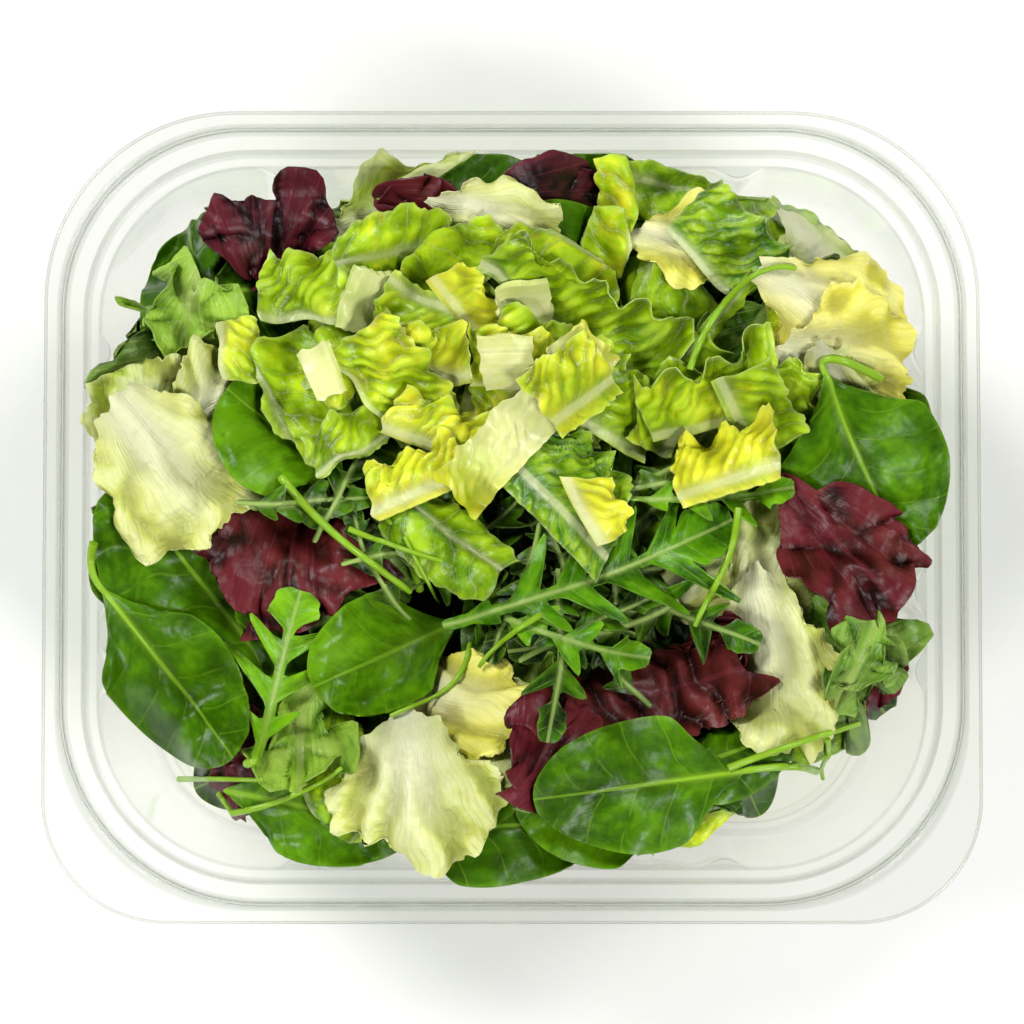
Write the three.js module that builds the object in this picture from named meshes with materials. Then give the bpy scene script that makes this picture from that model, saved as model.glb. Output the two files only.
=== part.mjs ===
// A clear thermoformed pot, open at the top, heaped with mixed salad leaves.
// Millimetres, +Z up. The origin is the centre of the pot's underside, and the front is towards -Y.
import * as THREE from "three";

// ---- Driving dimensions ----
const WIDTH = 190; // over the flange, along X
const DEPTH = 165; // over the flange, along Y
const RIM_HEIGHT = 58; // top face of the flange
const SHEET = 0.6; // thickness of the plastic
const LIP_DROP = 1.4; // turned-down edge of the flange
const EDGE_ZONE = 0.7; // rings this near the outer edge follow the edge's own corners
const BEAD = { inset: 2.9, width: 2.0, height: 0.7, slope: 0.4 }; // raised line round the flange
const FLANGE = 8.5; // from the outer edge to the step
const STEP_DROP = 3.2; // from the flange down to the ledge
const STEP_SLOPE = 0.4;
const LEDGE_DROP = 0.2;
const MOUTH_INSET = 11.4; // where the fluted wall starts
const DRAFT = 0.13; // how far the wall leans in, for each millimetre that it goes down
const FOOT_RADIUS = 5;
const FOOT_WIDTH = 9; // the flat ring that the pot stands on
const PANEL_RISE = 1.5; // the base's middle panel stands this far off the table

const CORNERS = {
  edge: { back: 38.5, front: 25.3 }, // the flange is wider at the two front corners
  mouth: { back: 31, front: 33 },
  growth: { back: 0.8, front: 1 }, // how fast a ring's corner radius grows towards the flange
};

const FLUTE = { width: 12, depth: 2.2, fadeHeight: 14 };
const FLUTES_ON_A_SIDE = 5;
const SIDE_FLUTE_PITCH = 16.3;
const BACK_FLUTE_OFFSET = 46.5;
const FRONT_FLUTE_OFFSET = 43;

const CORNER_STEPS = 6;
const FLUTE_SHAPE = [0, 0.5, 1, 0.5, 0]; // share of the flute's depth at even steps across it

const HEAP = {
  halfWidth: 85.3,
  halfDepth: 72.5,
  squareness: 2.7, // exponent of the heap's superellipse outline
  cornerShare: { backRight: 0.01, backLeft: 0.04, frontLeft: -0.02, frontRight: -0.07 }, // fuller at the back
  dome: 8, // how far the middle stands over the heap's shoulder
  footShare: 0.84, // the heap's width at the floor, as a share of its width at the top
  clearance: 0.6, // gap between the leaves and the plastic
  stations: 72,
  topRings: 15,
};
const LEAF_PLATES = { count: 90, length: [20, 46], breadth: [0.4, 0.7], lift: 3.4, tilt: 0.16, seed: 20 };

// ---- The pot's section: inset from the outer edge, and height, from the lip to the middle ----
const ledgeHeight = RIM_HEIGHT - STEP_DROP - LEDGE_DROP;
const wallFootInset = MOUTH_INSET + DRAFT * (ledgeHeight - FOOT_RADIUS);

function section() {
  const beadTop = RIM_HEIGHT + BEAD.height;
  const beadEnd = BEAD.inset + BEAD.width;
  const panelEdge = wallFootInset + FOOT_RADIUS + FOOT_WIDTH;
  const points = [
    [0, RIM_HEIGHT - LIP_DROP],
    [0.05, RIM_HEIGHT],
    [BEAD.inset, RIM_HEIGHT],
    [BEAD.inset + BEAD.slope, beadTop],
    [beadEnd - BEAD.slope, beadTop],
    [beadEnd, RIM_HEIGHT],
    [FLANGE, RIM_HEIGHT],
    [FLANGE + STEP_SLOPE, RIM_HEIGHT - STEP_DROP],
    [MOUTH_INSET, ledgeHeight],
    [MOUTH_INSET + DRAFT * FLUTE.fadeHeight, ledgeHeight - FLUTE.fadeHeight],
    [wallFootInset - DRAFT * FLUTE.fadeHeight, FOOT_RADIUS + FLUTE.fadeHeight],
  ];
  for (const angle of [0, 45, 90]) {
    const a = THREE.MathUtils.degToRad(angle);
    const r = FOOT_RADIUS - SHEET;
    points.push([wallFootInset + r * (1 - Math.cos(a)), SHEET + r * (1 - Math.sin(a))]);
  }
  points.push([panelEdge, SHEET], [panelEdge + PANEL_RISE, SHEET + PANEL_RISE]);
  return points.map(([inset, z]) => new THREE.Vector2(inset, z));
}

// The same section, moved by the sheet's thickness to the outside.
function outsideOf(points) {
  const normal = (a, b) => new THREE.Vector2(b.y - a.y, a.x - b.x).normalize();
  return points.map((p, i) => {
    const before = points[Math.max(i - 1, 0)];
    const after = points[Math.min(i + 1, points.length - 1)];
    const n1 = i > 0 ? normal(before, p) : normal(p, after);
    const n2 = i < points.length - 1 ? normal(p, after) : new THREE.Vector2(0, -1);
    const mitre = n1.clone().add(n2).normalize();
    return p.clone().addScaledVector(mitre, SHEET / Math.max(mitre.dot(n1), 0.5));
  });
}

// ---- One ring of the pot, as seen from above ----
function cornerRadius(side, inset) {
  const rings = CORNERS.mouth[side] + CORNERS.growth[side] * (MOUTH_INSET - inset);
  const edge = CORNERS.edge[side] - inset;
  const towardsEdge = THREE.MathUtils.clamp((BEAD.inset - inset) / (BEAD.inset - EDGE_ZONE), 0, 1);
  return THREE.MathUtils.lerp(rings, edge, towardsEdge);
}

function fluteDepth(inset, z) {
  if (inset < MOUTH_INSET - SHEET - 0.1) return 0;
  return FLUTE.depth * THREE.MathUtils.smoothstep(z, SHEET, FOOT_RADIUS + FLUTE.fadeHeight);
}

// Points along one straight side: along is the place on it, push the flute's depth there.
// The flutes draw together where a deep ring's straight stretch is too short for them.
function sidePoints(halfLength, centres, depth) {
  const points = [{ along: -halfLength, push: 0 }];
  const step = FLUTE.width / (FLUTE_SHAPE.length - 1);
  const fit = Math.min(1, (halfLength - 0.5) / (centres.at(-1) + FLUTE.width / 2));
  for (const centre of centres) {
    FLUTE_SHAPE.forEach((share, i) => {
      points.push({ along: fit * (centre + (i - 2) * step), push: share * depth });
    });
  }
  points.push({ along: halfLength, push: 0 });
  return points;
}

function ring(inset, z) {
  const a = WIDTH / 2 - inset;
  const b = DEPTH / 2 - inset;
  const back = cornerRadius("back", inset);
  const front = cornerRadius("front", inset);
  const depth = fluteDepth(inset, z);
  const middle = (b - back - (b - front)) / 2; // the sides' straight stretch is off centre
  const sideCentres = [];
  for (let i = 0; i < FLUTES_ON_A_SIDE; i++) {
    sideCentres.push((i - (FLUTES_ON_A_SIDE - 1) / 2) * SIDE_FLUTE_PITCH);
  }
  const sideHalf = b - (back + front) / 2;
  const points = [];
  const corner = (cx, cy, r, start) => {
    for (let i = 1; i < CORNER_STEPS; i++) {
      const t = start + ((Math.PI / 2) * i) / CORNER_STEPS;
      points.push([cx + r * Math.cos(t), cy + r * Math.sin(t)]);
    }
  };
  for (const p of sidePoints(sideHalf, sideCentres, depth)) points.push([a - p.push, p.along + middle]);
  corner(a - back, b - back, back, 0);
  for (const p of sidePoints(a - back, [-BACK_FLUTE_OFFSET, BACK_FLUTE_OFFSET], depth)) {
    points.push([-p.along, b - p.push]);
  }
  corner(-(a - back), b - back, back, Math.PI / 2);
  for (const p of sidePoints(sideHalf, sideCentres, depth)) points.push([p.push - a, middle - p.along]);
  corner(-(a - front), -(b - front), front, Math.PI);
  for (const p of sidePoints(a - front, [-FRONT_FLUTE_OFFSET, FRONT_FLUTE_OFFSET], depth)) {
    points.push([p.along, p.push - b]);
  }
  corner(a - front, -(b - front), front, 1.5 * Math.PI);
  return points.map(([x, y]) => new THREE.Vector3(x, y, z));
}

// ---- A closed solid from rings of equal count, shut by a point at each end ----
function closedLoft(rings, startPoint, endPoint) {
  const count = rings[0].length;
  const vertices = [...rings.flat(), startPoint, endPoint];
  const start = vertices.length - 2;
  const end = vertices.length - 1;
  const triangles = [];
  const last = (rings.length - 1) * count;
  for (let i = 0; i < count; i++) {
    const next = (i + 1) % count;
    triangles.push([start, next, i], [end, last + i, last + next]);
    for (let k = 0; k < rings.length - 1; k++) {
      const low = k * count;
      const high = low + count;
      triangles.push([low + i, low + next, high + next], [low + i, high + next, high + i]);
    }
  }
  const volume = triangles.reduce((sum, [p, q, r]) => {
    return sum + vertices[p].dot(new THREE.Vector3().crossVectors(vertices[q], vertices[r]));
  }, 0);
  if (volume < 0) triangles.forEach((t) => t.reverse());
  const geometry = new THREE.BufferGeometry();
  geometry.setAttribute("position", new THREE.Float32BufferAttribute(vertices.flatMap((v) => v.toArray()), 3));
  geometry.setIndex(triangles.flat());
  geometry.computeVertexNormals();
  return geometry;
}

function potGeometry() {
  const inside = section();
  const outside = outsideOf(inside);
  const insideRings = inside.map((p) => ring(p.x, p.y));
  const outsideRings = outside.map((p) => ring(p.x, Math.max(p.y, 0)));
  const top = new THREE.Vector3(0, 0, inside.at(-1).y);
  const under = new THREE.Vector3(0, 0, outside.at(-1).y);
  return closedLoft([...insideRings.reverse(), ...outsideRings], top, under);
}

// ---- The heap of leaves, as one solid out to its uneven outline ----
function seededRandom(seed) {
  let state = seed;
  return () => {
    state = (state * 16807) % 2147483647;
    return state / 2147483647;
  };
}

// Distance from the centre to a rounded rectangle, in the direction of the angle.
function roundedReach(angle, inset) {
  const a = WIDTH / 2 - inset;
  const b = DEPTH / 2 - inset;
  const r = cornerRadius(Math.sin(angle) > 0 ? "back" : "front", inset);
  const c = Math.abs(Math.cos(angle));
  const s = Math.abs(Math.sin(angle));
  const flat = Math.min(a / Math.max(c, 1e-6), b / Math.max(s, 1e-6));
  if (flat * c <= a - r || flat * s <= b - r) return flat;
  const along = c * (a - r) + s * (b - r);
  return along + Math.sqrt(along ** 2 - (a - r) ** 2 - (b - r) ** 2 + r ** 2);
}

// How far the pot's inside reaches at a height, less the flutes and the clearance.
function cavityReach(angle, z) {
  if (z > ledgeHeight + 0.5) return roundedReach(angle, FLANGE + STEP_SLOPE + HEAP.clearance);
  const foot = Math.max(FOOT_RADIUS - z, 0);
  const bend = FOOT_RADIUS - Math.sqrt(FOOT_RADIUS ** 2 - foot ** 2);
  const inset = MOUTH_INSET + DRAFT * (ledgeHeight - Math.max(z, FOOT_RADIUS)) + bend;
  return roundedReach(angle, inset + FLUTE.depth + HEAP.clearance);
}

function outlineReach(angle) {
  const c = Math.abs(Math.cos(angle)) / HEAP.halfWidth;
  const s = Math.abs(Math.sin(angle)) / HEAP.halfDepth;
  const smooth = (c ** HEAP.squareness + s ** HEAP.squareness) ** (-1 / HEAP.squareness);
  const end = Math.cos(angle) > 0 ? "Right" : "Left";
  const corner = HEAP.cornerShare[(Math.sin(angle) > 0 ? "back" : "front") + end] * Math.sin(2 * angle) ** 2;
  const tips = 0.022 * Math.sin(11 * angle + 0.6) + 0.016 * Math.sin(17 * angle) + 0.012 * Math.sin(29 * angle + 2);
  return smooth * (0.985 + corner + tips);
}

// Tilted ovals, curved down at their edges, that overlap like leaves. The highest at each place is the heap's top.
function leafPlates() {
  const random = seededRandom(LEAF_PLATES.seed);
  const between = ([low, high]) => low + (high - low) * random();
  const plates = [];
  for (let i = 0; i < LEAF_PLATES.count; i++) {
    const angle = 2 * Math.PI * random();
    const out = Math.sqrt(random()) * 0.92;
    const reach = outlineReach(angle);
    const halfLength = between(LEAF_PLATES.length) / 2;
    plates.push({
      x: out * reach * Math.cos(angle),
      y: out * reach * Math.sin(angle),
      heading: Math.PI * random(),
      halfLength,
      halfBreadth: halfLength * between(LEAF_PLATES.breadth),
      lift: LEAF_PLATES.lift * random(),
      slope: LEAF_PLATES.tilt * (2 * random() - 1),
    });
  }
  return plates;
}

function plateHeight(plates, x, y) {
  let highest = 0;
  for (const p of plates) {
    const dx = x - p.x;
    const dy = y - p.y;
    const along = dx * Math.cos(p.heading) + dy * Math.sin(p.heading);
    const across = dy * Math.cos(p.heading) - dx * Math.sin(p.heading);
    const inside = (along / p.halfLength) ** 2 + (across / p.halfBreadth) ** 2;
    if (inside < 1) highest = Math.max(highest, (p.lift + p.slope * along) * (1 - inside ** 3));
  }
  return highest;
}

function heapGeometry() {
  const plates = leafPlates();
  const shoulder = RIM_HEIGHT + 0.6;
  const floor = SHEET + PANEL_RISE + HEAP.clearance;
  const sideHeights = [floor, floor + 7, 20, 34, 46, ledgeHeight + 0.4, ledgeHeight + 0.8, shoulder];
  const rings = [];
  const reachAt = (angle, z) => {
    const share = THREE.MathUtils.lerp(HEAP.footShare, 1, THREE.MathUtils.clamp(z / ledgeHeight, 0, 1) ** 0.6);
    const creases = 1 + 0.012 * Math.sin(9 * angle + z / 7) + 0.01 * Math.sin(23 * angle - z / 5);
    return Math.min(outlineReach(angle) * share * creases, cavityReach(angle, z));
  };
  const angles = Array.from({ length: HEAP.stations }, (_, i) => (2 * Math.PI * i) / HEAP.stations);
  for (const z of sideHeights) {
    rings.push(angles.map((t) => new THREE.Vector3(Math.cos(t), Math.sin(t), 0).multiplyScalar(reachAt(t, z)).setZ(z)));
  }
  for (let k = 1; k < HEAP.topRings; k++) {
    const share = 1 - k / HEAP.topRings;
    const rise = HEAP.dome * (1 - share ** 2);
    rings.push(angles.map((t) => {
      const reach = share * reachAt(t, shoulder);
      const x = reach * Math.cos(t);
      const y = reach * Math.sin(t);
      return new THREE.Vector3(x, y, shoulder + rise + plateHeight(plates, x, y));
    }));
  }
  const peak = new THREE.Vector3(0, 0, shoulder + HEAP.dome + plateHeight(plates, 0, 0));
  return closedLoft(rings, new THREE.Vector3(0, 0, floor), peak);
}

// ---- The scene graph ----
function named(name, geometry, material) {
  const mesh = new THREE.Mesh(geometry, new THREE.MeshStandardMaterial(material));
  mesh.name = name;
  return mesh;
}

const salad = new THREE.Group();
salad.add(
  named("pot", potGeometry(), { color: 0xe6e6e0, roughness: 0.08, metalness: 0, transparent: true, opacity: 0.3 }),
  named("salad_leaves", heapGeometry(), { color: 0x6f9a2c, roughness: 0.45, metalness: 0 }),
);

export default salad;
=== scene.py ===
"""A clear pot of mixed salad leaves. Every leaf is a thin closed sheet, laid on the leaves below it."""

import math
from functools import cache, partial

import bpy
import numpy as np
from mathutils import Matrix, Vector
from mathutils.bvhtree import BVHTree


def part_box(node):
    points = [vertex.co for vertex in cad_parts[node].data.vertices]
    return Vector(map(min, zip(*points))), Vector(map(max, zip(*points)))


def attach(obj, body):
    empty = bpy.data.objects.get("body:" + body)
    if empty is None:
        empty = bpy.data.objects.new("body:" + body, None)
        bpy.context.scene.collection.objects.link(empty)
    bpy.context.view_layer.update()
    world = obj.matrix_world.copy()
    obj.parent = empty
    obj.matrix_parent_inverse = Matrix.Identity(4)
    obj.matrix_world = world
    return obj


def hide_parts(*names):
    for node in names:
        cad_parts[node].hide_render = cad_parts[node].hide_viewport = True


bl_info = {
    "name": "Salad pot",
    "version": (1, 0, 0),
    "blender": (4, 5, 0),
    "location": "3D View > Sidebar > Salad",
    "description": "Makes a clear plastic pot heaped with mixed salad leaves",
    "category": "Add Mesh",
}

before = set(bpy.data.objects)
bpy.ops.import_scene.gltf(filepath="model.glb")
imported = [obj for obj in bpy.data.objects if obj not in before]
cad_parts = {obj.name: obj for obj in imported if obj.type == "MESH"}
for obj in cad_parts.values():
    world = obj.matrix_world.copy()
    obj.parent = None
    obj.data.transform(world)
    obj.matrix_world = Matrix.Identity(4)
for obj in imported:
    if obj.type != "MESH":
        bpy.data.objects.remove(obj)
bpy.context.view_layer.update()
_, POT_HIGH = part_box("pot")
_, HEAP_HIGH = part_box("salad_leaves")

MM = 0.001
HALF_WIDTH = POT_HIGH.x / MM
HALF_DEPTH = POT_HIGH.y / MM
RIM = POT_HIGH.z / MM
OUTLINE_LEVEL = RIM - 2.0  # mm over the floor, where the outline of the heap is read


# ---------------------------------------------------------------- sizes and colours


def linear(code):
    """A linear colour from an sRGB hex value."""
    channels = [int(code[i : i + 2], 16) / 255 for i in (1, 3, 5)]
    return tuple(c / 12.92 if c <= 0.04045 else ((c + 0.055) / 1.055) ** 2.4 for c in channels) + (1.0,)


def length_property(name, description, millimetres):
    return bpy.props.FloatProperty(
        name=name, description=description, default=millimetres * MM, min=0.0, unit="LENGTH", precision=5
    )


def colour_property(name, description, code):
    return bpy.props.FloatVectorProperty(
        name=name, description=description, default=linear(code), size=4, min=0.0, max=1.0, subtype="COLOR"
    )


class SaladPotSizes(bpy.types.PropertyGroup):
    sheet: length_property("Sheet", "Thickness of the plastic", 0.6)
    bead_inset: length_property("Bead inset", "From the outer edge to the raised line round the flange", 2.9)
    bead_width: length_property("Bead width", "Width of the raised line", 2.0)
    bead_height: length_property("Bead height", "Height of the raised line", 0.7)
    lip: length_property("Lip", "Turned-down edge of the flange", 1.4)
    flange: length_property("Flange", "From the outer edge to the step", 8.5)
    step: length_property("Step", "From the flange down to the ledge", 3.2)
    mouth: length_property("Mouth inset", "From the outer edge to the top of the fluted wall", 11.4)
    foot_radius: length_property("Foot radius", "Bend between the wall and the foot", 5.0)
    foot_width: length_property("Foot width", "Flat ring that the pot stands on", 9.0)
    panel_rise: length_property("Panel rise", "How far the base's middle is raised", 1.5)
    flute_width: length_property("Flute width", "Width of one flute", 12.0)
    flute_depth: length_property("Flute depth", "How far a flute pushes in", 2.2)
    flute_pitch: length_property("Flute pitch", "From one flute to the next on the two ends", 16.3)
    tint: colour_property("Plastic tint", "Faint grey of the clear plastic", "#FCFCFA")
    # painted shade: a darker grey laid along the plastic's bends, where the bent sheet shows thin dark lines
    bend_shade: colour_property("Bend tint", "Darker grey of the plastic along its bends", "#F0F1EE")


class SaladLeafColours(bpy.types.PropertyGroup):
    spinach: colour_property("Spinach", "Upper side of a spinach leaf", "#3C6A01")
    spinach_dark: colour_property("Dark spinach", "The darkest spinach leaves", "#0B2301")
    spinach_light: colour_property("Light spinach", "Young spinach leaves", "#649A0B")
    spinach_vein: colour_property("Spinach vein", "Veins of a spinach leaf", "#8BBA2E")
    rocket: colour_property("Rocket", "A rocket leaf", "#437F02")
    rocket_dark: colour_property("Dark rocket", "The darkest rocket leaves", "#0D2901")
    rocket_light: colour_property("Light rocket", "The lightest rocket leaves", "#7BB512")
    rocket_vein: colour_property("Rocket vein", "Midrib of a rocket leaf", "#AAC66A")
    cos: colour_property("Cos", "Lime green of a cut cos leaf", "#A0C404")
    cos_heart: colour_property("Cos heart", "Yellow of the inner cos leaves", "#DEDC28")
    cos_green: colour_property("Cos green", "Green of the outer cos leaves", "#3E7A02")
    cos_rib: colour_property("Cos rib", "Pale midrib of a cos leaf", "#E6EBB6")
    iceberg: colour_property("Iceberg", "Pale iceberg lettuce", "#D2D868")
    iceberg_green: colour_property("Iceberg green", "The greener outer parts of iceberg lettuce", "#9FBD24")
    iceberg_vein: colour_property("Iceberg vein", "Fine greener veins of iceberg lettuce", "#ADB14F")
    cut_rib: colour_property("Cut midrib", "Thick pieces cut from the midrib of cos", "#ECEEAC")
    iceberg_rib: colour_property("Iceberg rib", "White base of iceberg lettuce", "#EAEACB")
    red: colour_property("Red leaf", "Dark red lettuce", "#40050D")
    red_dark: colour_property("Darkest red", "The darkest parts of red lettuce", "#140206")
    red_light: colour_property("Brown red", "Where red lettuce turns green", "#4A1A12")
    # painted highlight: the mauve laid on the crests of red lettuce
    red_ridge: colour_property("Red ridge", "Mauve of red lettuce where it is stretched", "#7A2F3A")
    red_vein: colour_property("Red vein", "Pink veins of red lettuce", "#80343E")
    curled: colour_property("Curled leaf", "Frilly green lettuce", "#447908")
    curled_dark: colour_property("Dark curled leaf", "The darkest frilly lettuce", "#0F3403")
    curled_light: colour_property("Light curled leaf", "The lightest frilly lettuce", "#89B129")
    curled_vein: colour_property("Curled vein", "Pale veins of frilly lettuce", "#AAC262")
    yellow: colour_property("Yellow leaf", "Yellow escarole", "#EEE74E")
    yellow_green: colour_property("Yellow-green leaf", "Greener parts of escarole", "#C2D02A")
    # painted highlight: the pale colour laid on the crests of cos and young lettuce, where light catches them
    ridge: colour_property("Ridge", "Where pale lettuce is stretched over a ridge", "#DDEC62")
    stem: colour_property("Stem", "Leaf stems", "#82AA1B")
    core: colour_property("Core", "Shade in the depth of the heap", "#081602")
    core_dark: colour_property("Dark core", "The darkest shade in the depth of the heap", "#040A02")


class SaladHeapSizes(bpy.types.PropertyGroup):
    seed: bpy.props.IntProperty(name="Seed", description="Starts every random draw", default=11, min=0)
    leaf: length_property("Leaf thickness", "Thickness of a leaf", 0.32)
    depth: length_property("Layer depth", "How deep the loose leaves lie over the core", 9.0)
    dome: length_property("Dome", "How far the middle of the heap stands over its edge", 7.0)
    shreds: bpy.props.IntProperty(
        name="Shreds", description="Small leaves scattered over the core", default=420, min=0
    )


def pot_sizes():
    return bpy.context.scene.salad_pot


def heap_sizes():
    return bpy.context.scene.salad_heap


def leaf_colours():
    return bpy.context.scene.salad_colours


# ---------------------------------------------------------------- nodes, meshes and pieces


def add_node(tree, kind, inputs=None, **settings):
    """Adds a node, sets its settings, and links or sets its inputs."""
    made = tree.nodes.new(kind)
    for key, value in settings.items():
        setattr(made, key, value)
    for key, value in (inputs or {}).items():
        if isinstance(value, bpy.types.NodeSocket):
            tree.links.new(value, made.inputs[key])
        else:
            made.inputs[key].default_value = value
    return made


def new_material(name):
    """An empty material, and add_node for its tree."""
    material = bpy.data.materials.new(name)
    material.use_nodes = True
    material.node_tree.nodes.clear()
    return material, partial(add_node, material.node_tree)


def grid_mesh(name, points, faces, smooth=True):
    """A mesh of quads from arrays. The points are in millimetres."""
    mesh = bpy.data.meshes.new(name)
    mesh.vertices.add(len(points))
    mesh.vertices.foreach_set("co", (points * MM).astype(np.float32).ravel())
    mesh.loops.add(faces.size)
    mesh.loops.foreach_set("vertex_index", faces.astype(np.int32).ravel())
    mesh.polygons.add(len(faces))
    mesh.polygons.foreach_set("loop_start", np.arange(0, faces.size, faces.shape[1], dtype=np.int32))
    mesh.update(calc_edges=True)
    mesh.polygons.foreach_set("use_smooth", np.full(len(faces), smooth))
    return mesh


def new_object(name, data):
    """An object linked to the scene."""
    made = bpy.data.objects.new(name, data)
    bpy.context.scene.collection.objects.link(made)
    return made


def add_piece(name, mesh, material, node):
    """Puts a finished mesh into the scene as a piece that stands for a CAD node."""
    piece = new_object(name, mesh)
    mesh.materials.clear()
    mesh.materials.append(material)
    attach(piece, "root")
    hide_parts(node)
    return piece


def plain_mesh(source, name):
    """The evaluated mesh of an object, with its modifiers applied. The object itself is removed."""
    bpy.context.view_layer.update()
    evaluated = source.evaluated_get(bpy.context.evaluated_depsgraph_get())
    mesh = bpy.data.meshes.new_from_object(evaluated)
    mesh.name = name
    bpy.data.objects.remove(source)
    return mesh


# ---------------------------------------------------------------- the space inside the pot


def node_tree_of(name):
    """The surface of a CAD node, for casting rays on it."""
    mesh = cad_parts[name].data
    return BVHTree.FromPolygons([v.co.copy() for v in mesh.vertices], [p.vertices[:] for p in mesh.polygons])


TURNS = 240  # directions round the pot in the tables of reach
LEVEL = 2.0  # mm between the heights in them
LEVELS = np.arange(3.0, HEAP_HIGH.z / MM, LEVEL)
SPAN = 78.0  # mm of leaf laid along the wall for each radian
NO_WALL = 200.0  # mm of reach where the pot has no wall
UNDER_RIM = 1.5  # mm: from this far under the rim upwards the pot does not hold the leaves back


def reach_table(tree, missed):
    """How far a solid reaches from the middle by direction and height, or missed where it is not met."""
    table = np.full((TURNS, len(LEVELS)), missed)
    for i in range(TURNS):
        turn = 2 * math.pi * i / TURNS
        way = Vector((math.cos(turn), math.sin(turn), 0))
        for k, level in enumerate(LEVELS):
            hit = tree.ray_cast(Vector((0, 0, level * MM)), way)
            if hit[0] is not None:
                table[i, k] = hit[0].to_2d().length / MM
    return table


def read_table(table, x, y, z):
    """The reach in the direction of each point, at its height."""
    turn = (np.arctan2(y, x) / (2 * math.pi) % 1.0) * TURNS
    level = np.clip((z - LEVELS[0]) / LEVEL, 0, len(LEVELS) - 1.001)
    i, k = np.floor(turn).astype(int), np.floor(level).astype(int)
    s, t = turn - i, level - k
    i, j = i % TURNS, (i + 1) % TURNS
    low = table[i, k] * (1 - s) + table[j, k] * s
    high = table[i, k + 1] * (1 - s) + table[j, k + 1] * s
    return low * (1 - t) + high * t


@cache
def hollow():
    """Tables of how far the pot's wall and the heap reach, and the surface of the pot."""
    pot = node_tree_of("pot")
    wall = reach_table(pot, NO_WALL)
    wall[:, LEVELS > RIM - UNDER_RIM] = NO_WALL
    heap = reach_table(node_tree_of("salad_leaves"), np.nan)
    for k in range(len(LEVELS)):
        if np.isnan(heap[:, k]).any():
            heap[:, k] = heap[:, k - 1] * 0.9  # over the solid heap's shoulder
    return wall, heap, pot


# ---------------------------------------------------------------- sheets: the shapes of the leaves


RIDGE = 0.6  # mm over what is around it, where a crest has its full painted highlight; as far under it, a crease has its full painted shade


class Sheet:
    """One leaf as a grid of points in millimetres, with what its material reads."""

    def __init__(self, x, y, z, vein, midrib, pale=0.0, thickness=None, margin=0.3):
        self.x, self.y, self.z = x, y, z
        self.vein = vein + 0 * x  # counts the side veins: each whole number is one
        self.midrib = midrib + 0 * x  # distance from the midrib
        self.pale = pale + 0 * x
        for edge in (self.pale[0], self.pale[-1], self.pale[:, 0], self.pale[:, -1]):
            edge[:] = np.maximum(edge, margin)
        around = z
        for _ in range(12):
            around = blurred(around)
        self.raised = np.clip((z - around) / RIDGE, -1, 1)  # 1 on a crest, -1 in a crease: the material paints highlight and shade by it
        self.flat = (x.copy(), y.copy())  # its places before it is bent
        self.thickness = (heap_sizes().leaf / MM if thickness is None else thickness) + 0 * x
        self.tone = 0.5


def blurred(a):
    """Each point of a grid averaged with its neighbours."""
    padded = np.pad(a, 1, mode="edge")
    total = sum(padded[i : i + a.shape[0], k : k + a.shape[1]] for i in range(3) for k in range(3))
    return total / 9


def smooth(low, high, value):
    """0 up to low and 1 from high on, with a soft step between."""
    t = np.clip((value - low) / (high - low), 0, 1)
    return t * t * (3 - 2 * t)


def waves(random, x, y, size, count=7):
    """A smooth uneven relief between about -1 and 1, with waves of about that size."""
    total = np.zeros_like(x)
    for _ in range(count):
        turn, start = random.uniform(0, 2 * math.pi, 2)
        step = 2 * math.pi / (size * random.uniform(0.7, 1.5))
        total = total + np.sin((x * math.cos(turn) + y * math.sin(turn)) * step + start)
    return total / math.sqrt(count) / 1.2


def frill(random, around, parts):
    """The sum of waves round a margin: each part is how many waves and how high."""
    return sum(high * np.sin(many * around + random.uniform(0, 6.28)) for many, high in parts)


def ruffle(random, x, y, out, around, parts):
    """Waves round a margin that lean over as they rise. Gives the moved x and y, and the height."""
    rise, slide = 0, 0
    for many, high in parts:
        phase = many * around + random.uniform(0, 6.28)
        rise, slide = rise + high * np.sin(phase), slide + high * np.cos(phase)
    grow = out**2.5
    return x + np.sin(around) * slide * grow, y - np.cos(around) * slide * grow, rise * grow


def bell(distance, width):
    """1 at no distance, fading to nothing beyond that width."""
    return np.exp(-((distance / width) ** 2))


def grid(rows, columns, first=-1):
    """Two arrays: one runs along a grid from first to 1, the other across it from -1 to 1."""
    return np.meshgrid(np.linspace(first, 1, rows), np.linspace(-1, 1, columns), indexing="ij")


def disc(length, width, detail):
    """A round grid. Its first axis runs along the leaf, from the base at -1 to the tip at 1."""
    u, v = grid(max(int(length * detail) + 6, 10), max(int(width * detail) + 6, 10) | 1)
    x, y = u * np.sqrt(1 - v * v / 2), v * np.sqrt(1 - u * u / 2)
    return x, y, np.hypot(x, y), np.arctan2(y, x)


def strip(length, width, detail, across=1.0):
    """A long grid: t from 0 at the base to 1 at the tip, and v from -1 to 1 across."""
    return grid(max(int(length * detail) + 6, 10), max(int(width * detail * across) + 5, 7) | 1, first=0)


def bend(sheet, turn, slope):
    """Bends a sheet along one direction: slope gives the angle of its surface for each distance that way."""
    c, s = math.cos(turn), math.sin(turn)
    along, across = sheet.x * c + sheet.y * s, sheet.y * c - sheet.x * s
    places = np.linspace(along.min() - 1, along.max() + 1, 160)
    angle, step = slope(places), places[1] - places[0]
    run, rise = np.cumsum(np.cos(angle)) * step, np.cumsum(np.sin(angle)) * step
    run, rise = run - np.interp(0, places, run), rise - np.interp(0, places, rise)
    tilt = np.interp(along, places, angle)
    bent = np.interp(along, places, run) - sheet.z * np.sin(tilt)
    sheet.z = np.interp(along, places, rise) + sheet.z * np.cos(tilt)
    sheet.x, sheet.y = bent * c - across * s, bent * s + across * c
    return sheet


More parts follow.
